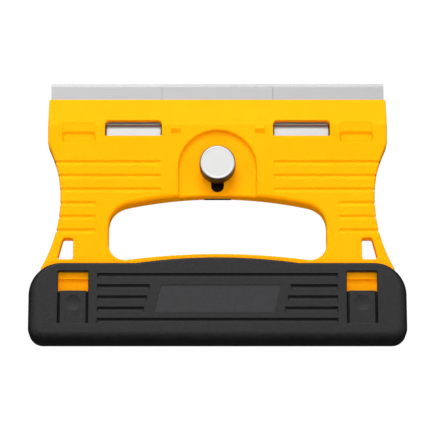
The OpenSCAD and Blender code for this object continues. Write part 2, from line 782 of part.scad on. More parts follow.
module knob_washer() color(steel) difference() {
  pole([0, stud_y], washer_d, z_panel, z_knob);
  pole([0, stud_y], stud_d + 2 * turn_gap, 0, far);
}

// Turned head: chamfered rims, a sunk face and a bore that holds the stud
module knob() color(alloy) translate([0, stud_y, z_knob]) difference() {
  r = knob_d / 2;
  face_r = r - knob_chamfer - knob_rim;
  rotate_extrude($fn = 64) polygon([
    [0, 0], [r - knob_chamfer, 0], [r, knob_chamfer], [r, knob_h - knob_chamfer], [r - knob_chamfer, knob_h],
    [face_r, knob_h], [face_r - face_d, knob_h - face_d], [0, knob_h - face_d]]);
  translate([0, 0, -eps]) cylinder(d = stud_d + 2 * tight_gap, h = stud_in + eps);
}

module knob_stud() color(steel) pole([0, stud_y], stud_d, z_carrier, z_knob + stud_in);

// Rounded block that the cover is cut from; it runs on past the mouth
module cover_block() {
  hull() for (s = [-1, 1], z = [cover_edge_r, cover_t - cover_edge_r]) {
    translate([s * (cover_half - cover_low_r), cover_end_y + cover_low_r, z]) rotate_extrude($fn = 32)
      intersection() {
        translate([cover_low_r - cover_edge_r, 0]) circle(cover_edge_r, $fn = 32);
        translate([0, -cover_edge_r]) square([cover_low_r, 2 * cover_edge_r]);
      }
    translate([s * (cover_half - cover_edge_r), hole_low_y + cover_edge_r, z]) sphere(cover_edge_r, $fn = 32);
  }
}

// Five rows of rib grooves; the middle three stop beside the slanted panel
module cover_grooves() {
  for (i = [0:4]) {
    y = mouth_y - rib_drop - i * rib_pitch;
    lean = (i - 2) * panel_slant;
    if (i == 0 || i == 4) grip_groove(y, -rib_half, rib_half, cover_t, rib_d, rib_run, rib_steep);
    else {
      grip_groove(y, -rib_half, -panel_half - lean, cover_t, rib_d, rib_run, rib_steep);
      grip_groove(y, panel_half - lean, rib_half, cover_t, rib_d, rib_run, rib_steep);
    }
  }
}

// Bare sunk panel among the rib grooves
module cover_badge() {
  mid_y = mouth_y - rib_drop - 2 * rib_pitch - rib_run / 2;
  w = panel_half - badge_gap;
  lean = panel_slant * badge_h / rib_pitch / 2;
  translate([0, 0, cover_t - badge_d]) linear_extrude(far)
    polygon([[-w - lean, mid_y - badge_h / 2], [w - lean, mid_y - badge_h / 2],
             [w + lean, mid_y + badge_h / 2], [lean - w, mid_y + badge_h / 2]]);
}

// Room for the bar or the nose, with two channels that pass over the nubs
module cover_room() {
  nub_depth = crease_y - step_y - cover_rise + side_gap;
  block(-bar_half - side_gap, bar_half + side_gap, cover_end_y + cover_end, far, cover_back, z_cover_in);
  both_sides() block(nub_x - nub_w / 2 - side_gap, nub_x + nub_w / 2 + side_gap,
                     mouth_y - nub_depth, far, z_cover_in - eps, body_t + nub_h + side_gap);
}

module safety_cover() color(black) difference() {
  intersection() {
    cover_block();
    linear_extrude(far) cover_plan();
  }
  cover_room();
  both_sides() {
    block(tongue_in - tongue_slot, tongue_out + tongue_slot, tongue_root_y, mouth_y - tongue_drop,
          z_cover_in - eps, far);
    along_x(tongue_in - turn_gap, tongue_out + turn_gap)
      translate([tongue_root_y, tongue_z]) circle(tongue_t / 2 + turn_gap);
  }
  cover_grooves();
  cover_badge();
}

// Snap tongue: a flat spring with a round root, a skirt at its sides, a hook and a thumb dish
module tongue() color(black) difference() {
  skirt = tongue_slot - skirt_gap;
  low = tongue_z - tongue_t / 2;
  high = tongue_z + tongue_t / 2;
  union() {
    translate([0, tongue_top_y - skirt_end, 0]) rotate([90, 0, 0])
      linear_extrude(tongue_len - tongue_t - skirt_end) polygon([
        [tongue_in - skirt, low], [tongue_out + skirt, low], [tongue_out + skirt, low + skirt_t],
        [tongue_out, high - skirt_top], [tongue_in, high - skirt_top], [tongue_in - skirt, low + skirt_t]]);
    block(tongue_in, tongue_out, tongue_root_y, tongue_top_y,
          tongue_z - tongue_t / 2, tongue_z + tongue_t / 2);
    along_x(tongue_in, tongue_out) translate([tongue_root_y, tongue_z]) circle(tongue_t / 2);
    along_x(tongue_in, tongue_out) translate([tongue_top_y, tongue_z - tongue_t / 2])
      polygon([[0, eps], [0, hook_lead - hook_d], [-hook_lead, -hook_d], [hook_hold - hook_len, -hook_d],
               [-hook_len, eps]]);
  }
  translate([snap_x, tongue_top_y - dish_drop, tongue_z + tongue_t / 2 - dish_depth])
    cylinder(d1 = dish_d - 2 * dish_depth, d2 = dish_d, h = dish_depth + eps);
}

module cover_tongue_left() mirror([1, 0, 0]) tongue();
module cover_tongue_right() tongue();

front_shell();
rear_shell();
shell_screws();
bar_screws();
blade_carrier();
clamp_plate();
clamp_screws();
blade_pins();
blade_left();
blade_middle();
blade_right();
clamp_nut();
knob_washer();
knob();
knob_stud();
safety_cover();
cover_tongue_left();
cover_tongue_right();
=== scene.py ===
# %% [markdown]
# # A window scraper with a sliding blade row
# Two yellow shells hold a row of three steel blades on a sliding carrier, a turned knob clamps the
# carrier, and a black cover pulls off the handle bar. The packed solids give every size, so the first
# cell loads them and keeps their box. New pieces are modelled in millimetres and scaled at the end.

# %% Load the frame
import json
from math import acos, asin, atan2, cos, degrees, pi, radians, sin, sqrt

import bmesh
import bpy
from mathutils import Matrix, Vector


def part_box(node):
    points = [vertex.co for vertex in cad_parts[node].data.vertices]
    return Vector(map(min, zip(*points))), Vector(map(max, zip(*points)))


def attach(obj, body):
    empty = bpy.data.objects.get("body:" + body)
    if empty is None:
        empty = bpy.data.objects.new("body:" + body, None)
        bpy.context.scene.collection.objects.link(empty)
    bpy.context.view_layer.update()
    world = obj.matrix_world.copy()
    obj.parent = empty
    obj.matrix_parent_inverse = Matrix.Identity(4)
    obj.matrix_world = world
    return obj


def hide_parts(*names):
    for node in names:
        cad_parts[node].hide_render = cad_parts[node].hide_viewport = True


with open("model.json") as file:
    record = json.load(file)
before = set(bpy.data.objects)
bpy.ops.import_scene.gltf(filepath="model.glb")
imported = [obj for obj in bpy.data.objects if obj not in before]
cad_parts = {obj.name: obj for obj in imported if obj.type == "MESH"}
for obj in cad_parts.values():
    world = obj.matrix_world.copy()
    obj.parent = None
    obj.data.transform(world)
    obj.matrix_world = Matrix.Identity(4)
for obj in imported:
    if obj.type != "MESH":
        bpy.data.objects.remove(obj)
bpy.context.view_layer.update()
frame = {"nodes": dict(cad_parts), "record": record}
scene = bpy.context.scene
MM = 0.001


def box_mm(node):
    """Lowest and highest corner of a packed node, in millimetres."""
    low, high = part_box(node)
    return low / MM, high / MM


# %% [markdown]
# ## Camera
# The photograph looks at the front face from a little below, so the walls that face the handle show as
# dark edges. A long lens keeps the two ends of the blade row the same size. The camera's own rotation
# about X is the tilt, because an unturned camera already looks straight down.

# %% Place the camera
TILT = radians(15)
DISTANCE = 900
LENS = 212
AIM = Vector((-0.89, -1.4, 6.5))

camera_data = bpy.data.cameras.new("camera")
camera_data.lens = LENS
camera = bpy.data.objects.new("camera", camera_data)
camera.location = (AIM + DISTANCE * Vector((0, -sin(TILT), cos(TILT)))) * MM
camera.rotation_euler = (TILT, 0, 0)
scene.collection.objects.link(camera)
scene.camera = camera
print("camera at", [round(value, 3) for value in camera.location])

# %% [markdown]
# ## Studio
# The tool lies on a white sheet under large soft lights. The strongest stands beyond the blades and a
# little to the left, so every slope that faces the blades is bright and every wall that faces the handle
# is in shade. A fill from the front lifts those walls. It is hidden from reflections, because the black
# plastic would mirror it as a grey veil. The plain view transform keeps the yellow strong.

# %% Light the studio
WORLD_STRENGTH = 0.05


def area_light(name, place, size, power):
    """A square soft light that faces the tool; places and sizes in metres."""
    data = bpy.data.lights.new(name, "AREA")
    data.energy = power
    data.size = size
    light = bpy.data.objects.new(name, data)
    light.location = place
    light.rotation_euler = (Vector((0, 0, 0)) - Vector(place)).to_track_quat("-Z", "Y").to_euler()
    scene.collection.objects.link(light)
    return light


world = bpy.data.worlds.new("studio")
world.use_nodes = True
background = world.node_tree.nodes["Background"]
background.inputs["Color"].default_value = (1, 1, 1, 1)
background.inputs["Strength"].default_value = WORLD_STRENGTH
scene.world = world
scene.view_settings.view_transform = "Standard"
area_light("key", (-0.1, 1.05, 0.85), 0.9, 20.5)
area_light("overhead", (0, 0.3, 1.2), 1.2, 6.5)
area_light("left fill", (-1.0, 0.0, 0.7), 0.8, 4)
area_light("right fill", (1.0, 0.0, 0.7), 0.8, 4)
front_fill = area_light("front fill", (0, -0.85, 0.95), 0.8, 7)
front_fill.visible_glossy = False

# %% [markdown]
# ## Outlines and lofts
# Most pieces here are moulded: an outline rises straight from a mould and ends in a rounded edge. An
# outline is a list of points, each with the direction that leads out of it and a softness that scales
# the rounding there. A loft copies the outline into rings, bridges them and closes both ends, so one
# helper makes bodies with rounded edges and also the cutters that leave a rounded rim.

# %% Outline helpers
def arc(cx, cy, r, start, end, steps, hollow=False, soft=(1, 1)):
    """Points of an arc in degrees; hollow turns its outside towards the centre."""
    points = []
    out = -1 if hollow else 1
    for i in range(steps + 1):
        angle = radians(start + (end - start) * i / steps)
        dx, dy = cos(angle), sin(angle)
        softness = soft[0] + (soft[1] - soft[0]) * i / steps
        points.append((cx + r * dx, cy + r * dy, out * dx, out * dy, softness))
    return points


def rounded(corners, steps=6):
    """Convex outline of (x, y, radius) corners, counter-clockwise."""
    points = []
    for i, (x, y, r) in enumerate(corners):
        before, after = corners[i - 1], corners[(i + 1) % len(corners)]
        arrive = atan2(y - before[1], x - before[0]) - pi / 2
        turn = (atan2(after[1] - y, after[0] - x) - pi / 2 - arrive) % (2 * pi)
        reach = r / cos(turn / 2)
        middle = arrive + turn / 2
        points += arc(x - reach * cos(middle), y - reach * sin(middle), r,
                      degrees(arrive), degrees(arrive + turn), steps)
    return points


def bar_plan(x0, x1, y0, y1, r):
    """Rectangle with round corners."""
    return rounded([(x0, y0, r), (x1, y0, r), (x1, y1, r), (x0, y1, r)])


def even(outline):
    """The same outline with full softness all round."""
    return [(x, y, nx, ny, 1) for x, y, nx, ny, soft in outline]


def grown(outline, by):
    """A larger copy of the outline."""
    return [(x + nx * by, y + ny * by, nx, ny, soft) for x, y, nx, ny, soft in outline]


def symmetric(right):
    """Whole outline from its right half, given from the bottom to the top."""
    left = [(-x, y, -nx, ny, soft) for x, y, nx, ny, soft in reversed(right) if abs(x) > 1e-6]
    return right + left


def rounding(r, z, side, steps=6, under=False):
    """Rings of a quarter round that ends level at z: side 1 opens a rim, side -1 closes an edge."""
    turns = [pi / 2 * i / steps for i in range(steps + 1)]
    if under:
        return [(side * r * (1 - cos(t)), z, r * (1 - sin(t))) for t in reversed(turns)]
    return [(side * r * (1 - cos(t)), z, -r * (1 - sin(t))) for t in turns]


def loft(outline, rings):
    """Closed solid of rings (growth, height, extra height); softness scales the growth and the extra."""
    return skinned([[(x + nx * grow * soft, y + ny * grow * soft, z + rise * soft)
                     for x, y, nx, ny, soft in outline] for grow, z, rise in rings])


def skinned(rings):
    """Closed solid over rings of points that all have the same count."""
    bm = bmesh.new()
    loops = []
    for ring in rings:
        verts = [bm.verts.new(point) for point in ring]
        loops.append([bm.edges.new(pair) for pair in zip(verts, verts[1:] + verts[:1])])
    for low, high in zip(loops, loops[1:]):
        bmesh.ops.bridge_loops(bm, edges=low + high)
    for end in (loops[0], loops[-1]):
        bmesh.ops.contextual_create(bm, geom=end)
    bmesh.ops.recalc_face_normals(bm, faces=bm.faces)
    return bm


def cutter(outline, low, top, rim):
    """Solid that cuts a straight hole down to low and leaves a rounded rim at the height top."""
    return loft(outline, [(0, low, 0)] + rounding(rim, top, 1) + [(rim, top + 3, 0)])


def back_cutter(outline, rim, top):
    """Solid that cuts a straight hole from the back up to top, with a rounded rim at the back."""
    return loft(outline, [(rim, -3, 0)] + rounding(rim, 0, 1, under=True) + [(0, top, 0)])


def block(x0, x1, y0, y1, z0, z1):
    """Plain block from a unit cube."""
    bm = bmesh.new()
    bmesh.ops.create_cube(bm, size=1)
    bmesh.ops.scale(bm, vec=(x1 - x0, y1 - y0, z1 - z0), verts=bm.verts)
    bmesh.ops.translate(bm, vec=((x0 + x1) / 2, (y0 + y1) / 2, (z0 + z1) / 2), verts=bm.verts)
    return bm


def post(x, y, d, z0, z1):
    """Plain round post."""
    bm = bmesh.new()
    bmesh.ops.create_cone(bm, cap_ends=True, segments=32, radius1=d / 2, radius2=d / 2, depth=z1 - z0)
    bmesh.ops.translate(bm, vec=(x, y, (z0 + z1) / 2), verts=bm.verts)
    return bm


print("a rounded square has", len(bar_plan(0, 10, 0, 10, 2)), "points")

# %% [markdown]
# ## Cutting and joining
# The real recesses are made by steel cores in the mould, and a Boolean does the same job here. Each
# solid becomes a passing object, the modifier is evaluated once, and the result comes back as a bmesh.
# A cut can leave points that almost meet, so each result is welded before the next cut. Cutters that
# don't touch each other are poured into one mesh first, because one large cut is quicker.

# %% Boolean helpers
WELD = 0.0005


def poured(solids):
    """Several separate solids in one bmesh; the parts are used up."""
    whole = bmesh.new()
    for bm in solids:
        passing = bpy.data.meshes.new("passing")
        bm.to_mesh(passing)
        bm.free()
        whole.from_mesh(passing)
        bpy.data.meshes.remove(passing)
    return whole


def both_sides(bm):
    """The solid and its mirror image across the middle of the tool."""
    copied = bmesh.ops.duplicate(bm, geom=bm.verts[:] + bm.edges[:] + bm.faces[:])["geom"]
    verts = [item for item in copied if isinstance(item, bmesh.types.BMVert)]
    bmesh.ops.scale(bm, vec=(-1, 1, 1), verts=verts)
    bmesh.ops.recalc_face_normals(bm, faces=bm.faces)
    return bm


def combined(base, tool, operation):
    """Boolean of two solids; both are used up."""
    pair = []
    for bm in (base, tool):
        mesh = bpy.data.meshes.new("passing")
        bm.to_mesh(mesh)
        bm.free()
        pair.append(bpy.data.objects.new("passing", mesh))
        scene.collection.objects.link(pair[-1])
    step = pair[0].modifiers.new("boolean", "BOOLEAN")
    step.operation = operation
    step.solver = "EXACT"
    step.object = pair[1]
    result = bmesh.new()
    result.from_object(pair[0], bpy.context.evaluated_depsgraph_get())
    for item in pair:
        bpy.data.meshes.remove(item.data)
    bmesh.ops.remove_doubles(result, verts=result.verts, dist=WELD)
    bmesh.ops.dissolve_degenerate(result, edges=result.edges, dist=WELD)
    return result


def cut(base, solids):
    """Base without the solids."""
    return combined(base, poured(solids), "DIFFERENCE")


print("points closer than", WELD, "mm are welded after each cut")

# %% [markdown]
# ## Shader sums
# A finish is easier to read as a sum than as a web of nodes. One small class holds a socket; adding or
# multiplying two of them adds a Math node, and one method makes any other node from its type, its
# settings and the values or links of its sockets.

# %% Shader class
class Shade:
    """A socket of a node tree that can be used in sums."""

    def __init__(self, tree, socket=None):
        self.tree = tree
        self.socket = socket

    def node(self, kind, settings=None, sockets=None, output=0):
        """Any node: its settings are set first, then its sockets get values or links."""
        made = self.tree.nodes.new("ShaderNode" + kind)
        for name, setting in (settings or {}).items():
            setattr(made, name, setting)
        for name, value in (sockets or {}).items():
            if isinstance(value, Shade):
                self.tree.links.new(value.socket, made.inputs[name])
            else:
                made.inputs[name].default_value = value
        return Shade(self.tree, made.outputs[output])

    def maths(self, operation, first, second):
        return self.node("Math", {"operation": operation}, {0: first, 1: second})

    def __add__(self, other):
        return self.maths("ADD", self, other)

    def __sub__(self, other):
        return self.maths("SUBTRACT", self, other)

    def __rsub__(self, other):
        return self.maths("SUBTRACT", other, self)

    def __mul__(self, other):
        return self.maths("MULTIPLY", self, other)

    __radd__ = __add__
    __rmul__ = __mul__

    def noise(self, place, scale, detail=2):
        return self.node("TexNoise", {}, {"Vector": place, "Scale": scale, "Detail": detail})

    def stretched(self, place, factors):
        return self.node("VectorMath", {"operation": "MULTIPLY"}, {0: place, 1: factors})

    def over(self, amount, below, colour):
        """A plain colour laid over another colour as far as amount says."""
        return self.node("Mix", {"data_type": "RGBA"}, {0: amount, 6: below, 7: (*colour, 1)}, 2)

    def blend(self, amount, first, second):
        return self.over(amount, (*first, 1), second)

    def bump(self, height, strength, distance):
        return self.node("Bump", {}, {"Height": height, "Strength": strength, "Distance": distance})


finishes = {}


def new_finish(slot, **constants):
    """Empty finish for a material slot: its shader node, and a start for sums on Object coordinates."""
    material = bpy.data.materials.new(slot)
    material.use_nodes = True
    tree = material.node_tree
    shader = tree.nodes["Principled BSDF"]
    for name, value in constants.items():
        shader.inputs[name.replace("_", " ")].default_value = value
    finishes[slot] = material
    start = Shade(tree)
    return shader, start, start.node("TexCoord", output="Object")


def feed(shader, **sources):
    """Links sums to the shader's sockets."""
    for name, source in sources.items():
        source.tree.links.new(source.socket, shader.inputs[name.replace("_", " ")])


print("shader helpers", [name for name in vars(Shade) if not name.startswith("_")])

# %% [markdown]
# ## Yellow shells
# The shells are moulded in a satin yellow plastic. The colour drifts a little where the melt flowed, the
# gloss is broken by faint handling marks, and a very fine grain from the mould softens reflections. Light
# enters the plastic a little way, so some subsurface scattering keeps the shaded walls warm.

# %% Yellow plastic
shader, start, place = new_finish("yellow_shell", Specular_IOR_Level=0.02, Subsurface_Weight=0.5,
                                  Subsurface_Radius=(1.0, 0.3, 0.03), Subsurface_Scale=0.0016)
flow = start.noise(place, 35, 3)
grain = start.noise(place, 3200, 2)
marks = start.noise(start.stretched(place, (400, 90, 90)), 1, 4)
feed(shader, Base_Color=start.blend(flow, (0.97, 0.35, 0.0), (0.97, 0.39, 0.002)),
     Roughness=0.44 + 0.1 * marks + 0.06 * grain,
     Normal=start.bump(grain, 0.12, 0.00005))
print("yellow plastic ready")

# %% [markdown]
# ## Black cover
# The cover and its snap tongues are a dull black plastic with a fine spark-eroded skin, and two sizes of
# noise give that skin. The slanted panel on the front is a little greyer. It could be a piece of its own,
# but it is one moulding with the cover, so a mask from the object's coordinates finds it: inside its width,
# inside its height, and near the front face so that the back of the cover stays plain.

# %% Black plastic
cover_low, cover_high = box_mm("safety_cover")
field_half, field_tall, field_y, field_lean = 21.0, 9.8, cover_high.y - 14.94, 1.22
shader, start, place = new_finish("black_cover", Specular_IOR_Level=0.28)
skin = 0.65 * start.noise(place, 2600, 3) + 0.35 * start.noise(place, 900, 2)
drift = start.noise(place, 60, 3)
split = start.node("SeparateXYZ", {}, {0: place})
along, up, height = (Shade(split.tree, socket) for socket in split.socket.node.outputs)
up = up - field_y * MM
slanted = start.maths("ABSOLUTE", along - up * (2 * field_lean / field_tall), 0)
inside = (start.maths("LESS_THAN", slanted, field_half * MM)
          * start.maths("LESS_THAN", start.maths("ABSOLUTE", up, 0), field_tall / 2 * MM)
          * start.maths("GREATER_THAN", height, (cover_high.z - 1) * MM))
shade = 0.2 * drift + 1.3 * skin + 0.5 * inside - 0.48
feed(shader, Base_Color=start.blend(shade, (0.0015, 0.0015, 0.002), (0.022, 0.022, 0.024)),
     Roughness=0.46 + 0.14 * skin + 0.08 * drift,
     Normal=start.bump(skin, 0.8, 0.0001))
print("black plastic ready")

# %% [markdown]
# ## Steel and zinc
# The blades are ground along their length, so their marks run with the edge. The strip that is ground to
# the cutting edge is painted darker than the flat, as painted shade for the darker reflection of its bevel.
# The clamp plate is bright spring steel, the carrier a dark sheet, and the screws are zinc plated. All four
# come from one function, which stretches a noise along the marks; the painted dark strip is laid over the
# blades' finish by a mask on Y.

# %% Steel and zinc
def ground_metal(slot, colour, roughness, along, spread, depth):
    """Metal with fine marks; along is the stretch of the marks in marks per metre."""
    shader, start, place = new_finish(slot, Metallic=1.0)
    lines = start.noise(start.stretched(place, along), 1, 4)
    cloud = start.noise(place, 45, 2)
    darker = tuple(0.86 * value for value in colour)
    feed(shader, Base_Color=start.blend(0.6 * lines + 0.4 * cloud, darker, colour),
         Roughness=roughness - spread / 2 + spread * lines,
         Normal=start.bump(lines, depth, 0.00003))
    return shader, start, place


shader, start, place = ground_metal("blade_steel", (0.32, 0.32, 0.322), 0.34, (60, 5200, 5200), 0.14, 0.10)
along_y = Shade(start.tree, start.node("SeparateXYZ", {}, {0: place}).socket.node.outputs[1])
tip_y, bevel = box_mm("blade_left")[1].y, 1.2
# Painted shade: the strip within bevel of the tip gets a dark grey, standing in for the darker reflection of
# the ground bevel.
ground = start.maths("GREATER_THAN", along_y, (tip_y - bevel) * MM)
steel = Shade(start.tree, shader.inputs["Base Color"].links[0].from_socket)
feed(shader, Base_Color=start.over(ground, steel, (0.16, 0.16, 0.16)))
ground_metal("spring_steel", (0.34, 0.34, 0.335), 0.36, (110, 4200, 4200), 0.12, 0.10)
ground_metal("carrier_steel", (0.05, 0.036, 0.03), 0.55, (90, 2600, 2600), 0.16, 0.14)
ground_metal("zinc_screw", (0.52, 0.53, 0.55), 0.36, (700, 700, 700), 0.20, 0.12)
print("ground metals ready")

# %% [markdown]
# ## Turned aluminium
# The knob is turned, so its tool marks are rings round its own axis. The distance from that axis drives a
# noise in one dimension, which gives rings of uneven brightness. The same distance also darkens the knurled
# side beyond the face, as painted shade for the knurl's self-shadowing.

# %% Aluminium
knob_low, knob_high = box_mm("knob")
knob_x, knob_y = (knob_low.x + knob_high.x) / 2, (knob_low.y + knob_high.y) / 2
shader, start, place = new_finish("turned_aluminium", Metallic=1.0)
centred = start.node("Mapping", {"vector_type": "POINT"},
                     {"Vector": place, "Location": (-knob_x * MM, -knob_y * MM, 0)})
flat = start.stretched(centred, (1, 1, 0))
radius = start.node("VectorMath", {"operation": "LENGTH"}, {0: flat}, "Value")
rings = start.node("TexNoise", {"noise_dimensions": "1D"}, {"W": radius * 2600, "Scale": 1, "Detail": 3})
# Painted shade: beyond the face the knurled side is masked by its distance from the axis, standing in for the
# knurl's self-shadowing.
side = start.node("MapRange", {}, {"Value": radius, "From Min": 0.0061, "From Max": 0.00625, "To Max": 0.7})
turned = start.blend(rings, (0.39, 0.39, 0.385), (0.47, 0.47, 0.465))
# The near-black colour laid over the knurled side is that painted shade.
feed(shader, Base_Color=start.over(side, turned, (0.04, 0.036, 0.033)),
     Roughness=0.40 + 0.10 * rings,
     Normal=start.bump(rings, 0.25, 0.00004))
print("finishes", sorted(finishes))

# %% [markdown]
# ## Finished pieces
# Every finished solid goes through the same last steps. It is scaled to metres, its edges are marked sharp
# where two faces meet at a clear angle, and a Weighted Normal modifier keeps the large flat faces flat
# beside small roundings. Then it gets its finish and the body it rides on, and the packed nodes it
# replaces are hidden.

# %% Piece helper
SHARP = radians(28)


def piece(name, bm, body, slot, *replaced):
    """Finished object in metres that rides on a body and stands for packed nodes."""
    bmesh.ops.remove_doubles(bm, verts=bm.verts, dist=WELD)
    bmesh.ops.scale(bm, vec=(MM, MM, MM), verts=bm.verts)
    mesh = bpy.data.meshes.new(name)
    bm.to_mesh(mesh)
    bm.free()
    mesh.shade_smooth()
    mesh.set_sharp_from_angle(angle=SHARP)
    made = bpy.data.objects.new(name, mesh)
    scene.collection.objects.link(made)
    made.modifiers.new("even shading", "WEIGHTED_NORMAL").keep_sharp = True
    mesh.materials.append(finishes[slot])
    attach(made, body)
    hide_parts(*replaced)
    print(name, len(mesh.polygons), "faces")


print("edges above", round(degrees(SHARP)), "degrees stay sharp")

# %% [markdown]
# ## Sizes from the frame
# The packed solids say where everything is, so the main sizes are read from their boxes. What a box
# can't tell, such as the radius of the waist, is written out once here in millimetres.

# %% Main sizes
shell_low, shell_high = box_mm("front_shell")
left_low, left_high = box_mm("blade_left")
tongue_low, tongue_high = box_mm("cover_tongue_right")
rear_high, plate_high = box_mm("rear_shell")[1], box_mm("clamp_plate")[1]
washer_low = box_mm("knob_washer")[0]

nose_y, bar_end_y, bar_half = shell_high.y, shell_low.y, shell_high.x
part_z, lip_z, panel_z = rear_high.z, shell_low.z, washer_low.z
nose_half = -left_low.x + 0.6
nub_height = 1.0
face_z = shell_high.z - nub_height
nose_edge_z, nose_len = 5.9, 10.7
crease_y = nose_y - nose_len
waist_half, waist_top_r, waist_low_r, waist_y = nose_half - 4.8, 46, 52, 3.6
hole_top_y, hole_low_y, hole_half = 5.0, -16.6, waist_half - 17.25
mouth_rise, skirt = 2.05, 0.58
mouth_y = cover_high.y - mouth_rise
cover_half, cover_end_y, cover_top_z = cover_high.x, cover_low.y, cover_high.z
print("nose at", round(nose_y, 2), "face at", round(face_z, 2), "mouth at", round(mouth_y, 2))

# %% [markdown]
# ## Plans of the body
# Seen from the front, the body is a wide nose and a wide bar joined by a waist, with a finger hole between.
# The waist is two large arcs on each side. The hole is two long arcs joined by round corners.

# %% Body and hole outlines
def body_outline():
    """Outline of both shells; the nose edge is less soft than the gripped sides."""
    corner, nose_corner, bend = 2.0, 0.8, 5.0
    low_x, top_x, bend_x = waist_half + waist_low_r, waist_half + waist_top_r, nose_half - bend
    low = degrees(acos((low_x - bar_half) / waist_low_r))
    rise = sqrt((waist_top_r + bend) ** 2 - (top_x - bend_x) ** 2)
    top = degrees(atan2(rise, top_x - bend_x))
    right = arc(bar_half - corner, bar_end_y + corner, corner, -90, 0, 6)
    right += arc(low_x, waist_y, waist_low_r, 180 + low, 180, 28, hollow=True)
    right += arc(top_x, waist_y, waist_top_r, 180, 180 - top, 24, hollow=True)[1:]
    right += arc(bend_x, waist_y + rise, bend, -top, 0, 6)[1:]
    right += arc(nose_half - nose_corner, nose_y - nose_corner, nose_corner, 0, 90, 6, soft=(0.5, 0.3))
    return symmetric(right)


def hole_outline():
    """Finger hole; its lower edge bows up with the bar."""
    top_r, low_r, top_corner, low_corner = 150, 234, 8.5, 6
    x_top, y_top = hole_half - top_corner, hole_top_y - top_r
    c_top = y_top + sqrt((top_r - top_corner) ** 2 - x_top ** 2)
    a_top = degrees(atan2(c_top - y_top, x_top))
    x_low, y_low = hole_half - low_corner, hole_low_y - low_r
    c_low = y_low + sqrt((low_r + low_corner) ** 2 - x_low ** 2)
    a_low = degrees(atan2(c_low - y_low, x_low))
    right = arc(0, y_low, low_r, 90, a_low, 16, hollow=True, soft=(0.2, 0.2))
    right += arc(x_low, c_low, low_corner, 180 + a_low, 360, 14, soft=(0.2, 0.7))
    right += arc(x_top, c_top, top_corner, 0, a_top, 16, soft=(0.7, 1))
    right += arc(0, y_top, top_r, a_top, 90, 16)
    return symmetric(right)


def lanyard_outline():
    """Slot for a cord beside the finger hole, wider at its bottom."""
    low_wide, top_wide, tall, corner = 5.6, 3.6, 7.7, 0.8
    x0, y0 = waist_half - 4.8, mouth_y + 1.9
    return rounded([(x0, y0, corner), (x0 + low_wide, y0, corner),
                    (x0 + top_wide, y0 + tall, corner), (x0, y0 + tall, corner)])


def undercut(lean):
    """Room behind a lanyard slot's far walls, which lean out of sight below the face."""
    inner = grown(lanyard_outline(), -0.05)
    walls = [(x, y, nx, ny, max(ny, lean * nx, 0)) for x, y, nx, ny, soft in inner]
    back, middle, start_z = 1.8, 1.05, face_z - 4.3
    return loft(walls, [(back, -1, 0), (back, 0, 0), (middle, part_z, 0), (0, start_z, 0)])


print("body outline", len(body_outline()), "points; hole", len(hole_outline()), "points")

# %% [markdown]
# ## Front shell: the blank
# The blank is the outline lofted up to a rounded edge. The nose then slopes down to the blades. It could
# be cut off by a plane, but the rounded sides would be lost, so loops are added across the crease with
# bisect_plane and everything beyond it is sheared down, which carries the rounding along the slope.

# %% Shear helpers
nose_slope = (face_z - nose_edge_z) / nose_len
crease_blend = 0.5


def nose_drop(y):
    """How far the face has dropped at y; the crease is a short smooth bend."""
    run = y - crease_y
    if run <= -crease_blend:
        return 0
    if run >= crease_blend:
        return nose_slope * run
    return nose_slope * (run + crease_blend) ** 2 / (4 * crease_blend)


def loops_across(bm, places):
    """Adds edge loops across a solid at the given places along Y."""
    for y in places:
        geom = bm.verts[:] + bm.edges[:] + bm.faces[:]
        bmesh.ops.bisect_plane(bm, geom=geom, dist=1e-5, plane_co=(0, y, 0), plane_no=(0, 1, 0))


def follow_nose(bm, above):
    """Lowers the points above a height with the slope of the nose."""
    loops_across(bm, [crease_y + crease_blend * i / 2 for i in range(-2, 3)])
    for vert in bm.verts:
        if vert.co.z > above:
            vert.co.z -= nose_drop(vert.co.y)
    return bm


def cut_off(bm, point, normal):
    """Cuts away what lies beyond a plane and closes the cut."""
    geom = bm.verts[:] + bm.edges[:] + bm.faces[:]
    bmesh.ops.bisect_plane(bm, geom=geom, dist=1e-5, plane_co=point, plane_no=normal, clear_outer=True)
    bmesh.ops.holes_fill(bm, edges=[edge for edge in bm.edges if edge.is_boundary])
    return bm


side_round, seam = 1.0, 0.12
blank_rings = [(-seam, part_z, 0), (0, part_z + seam, 0)] + rounding(side_round, face_z, -1)
front = follow_nose(loft(body_outline(), blank_rings), part_z + 1)
print("front blank", len(front.verts), "points")

# %% [markdown]
# Two small nubs stand below the crease. When the cover is pushed over the nose they centre it. Each is a
# half-round block with its top cut by two planes, a short steep one above and a longer one below. A thin
# rib along the nose closes the gap over the blades.

# %% Nubs and the rib behind the nose
nub_x, nub_half, nub_peak_y, nub_end_y = 15.0, 1.6, crease_y - 1.8, crease_y - 3.4
nub_top_y, nub_top_r, nub_end_r, nub_bevel = crease_y + 0.3, 1.5, 0.25, 0.12
rib_inset = 0.4


def nubs():
    """Both nubs."""
    corners = [(nub_x - nub_half, nub_end_y, nub_end_r), (nub_x + nub_half, nub_end_y, nub_end_r),
               (nub_x + nub_half, nub_top_y, nub_top_r), (nub_x - nub_half, nub_top_y, nub_top_r)]
    bm = loft(rounded(corners), [(0, face_z - 1.5, 0), (0, face_z + 2, 0)])
    peak = (nub_x, nub_peak_y, face_z + nub_height)
    cut_off(bm, peak, (0, nub_height + 0.15, 2.1))
    cut_off(bm, peak, (0, -nub_height - 0.05, 1.6))
    edges = [edge for edge in bm.edges if all(vert.co.z > face_z - 0.2 for vert in edge.verts)]
    bmesh.ops.bevel(bm, geom=edges, offset=nub_bevel, segments=2, profile=0.5, affect="EDGES", material=-1)
    return both_sides(bm)


rib = block(rib_inset - nose_half, nose_half - rib_inset, plate_high.y + 0.3, nose_y - 0.1,
            lip_z, part_z + 0.3)
front = combined(front, poured([nubs(), rib]), "UNION")
print("front shell with nubs", len(front.faces), "faces")

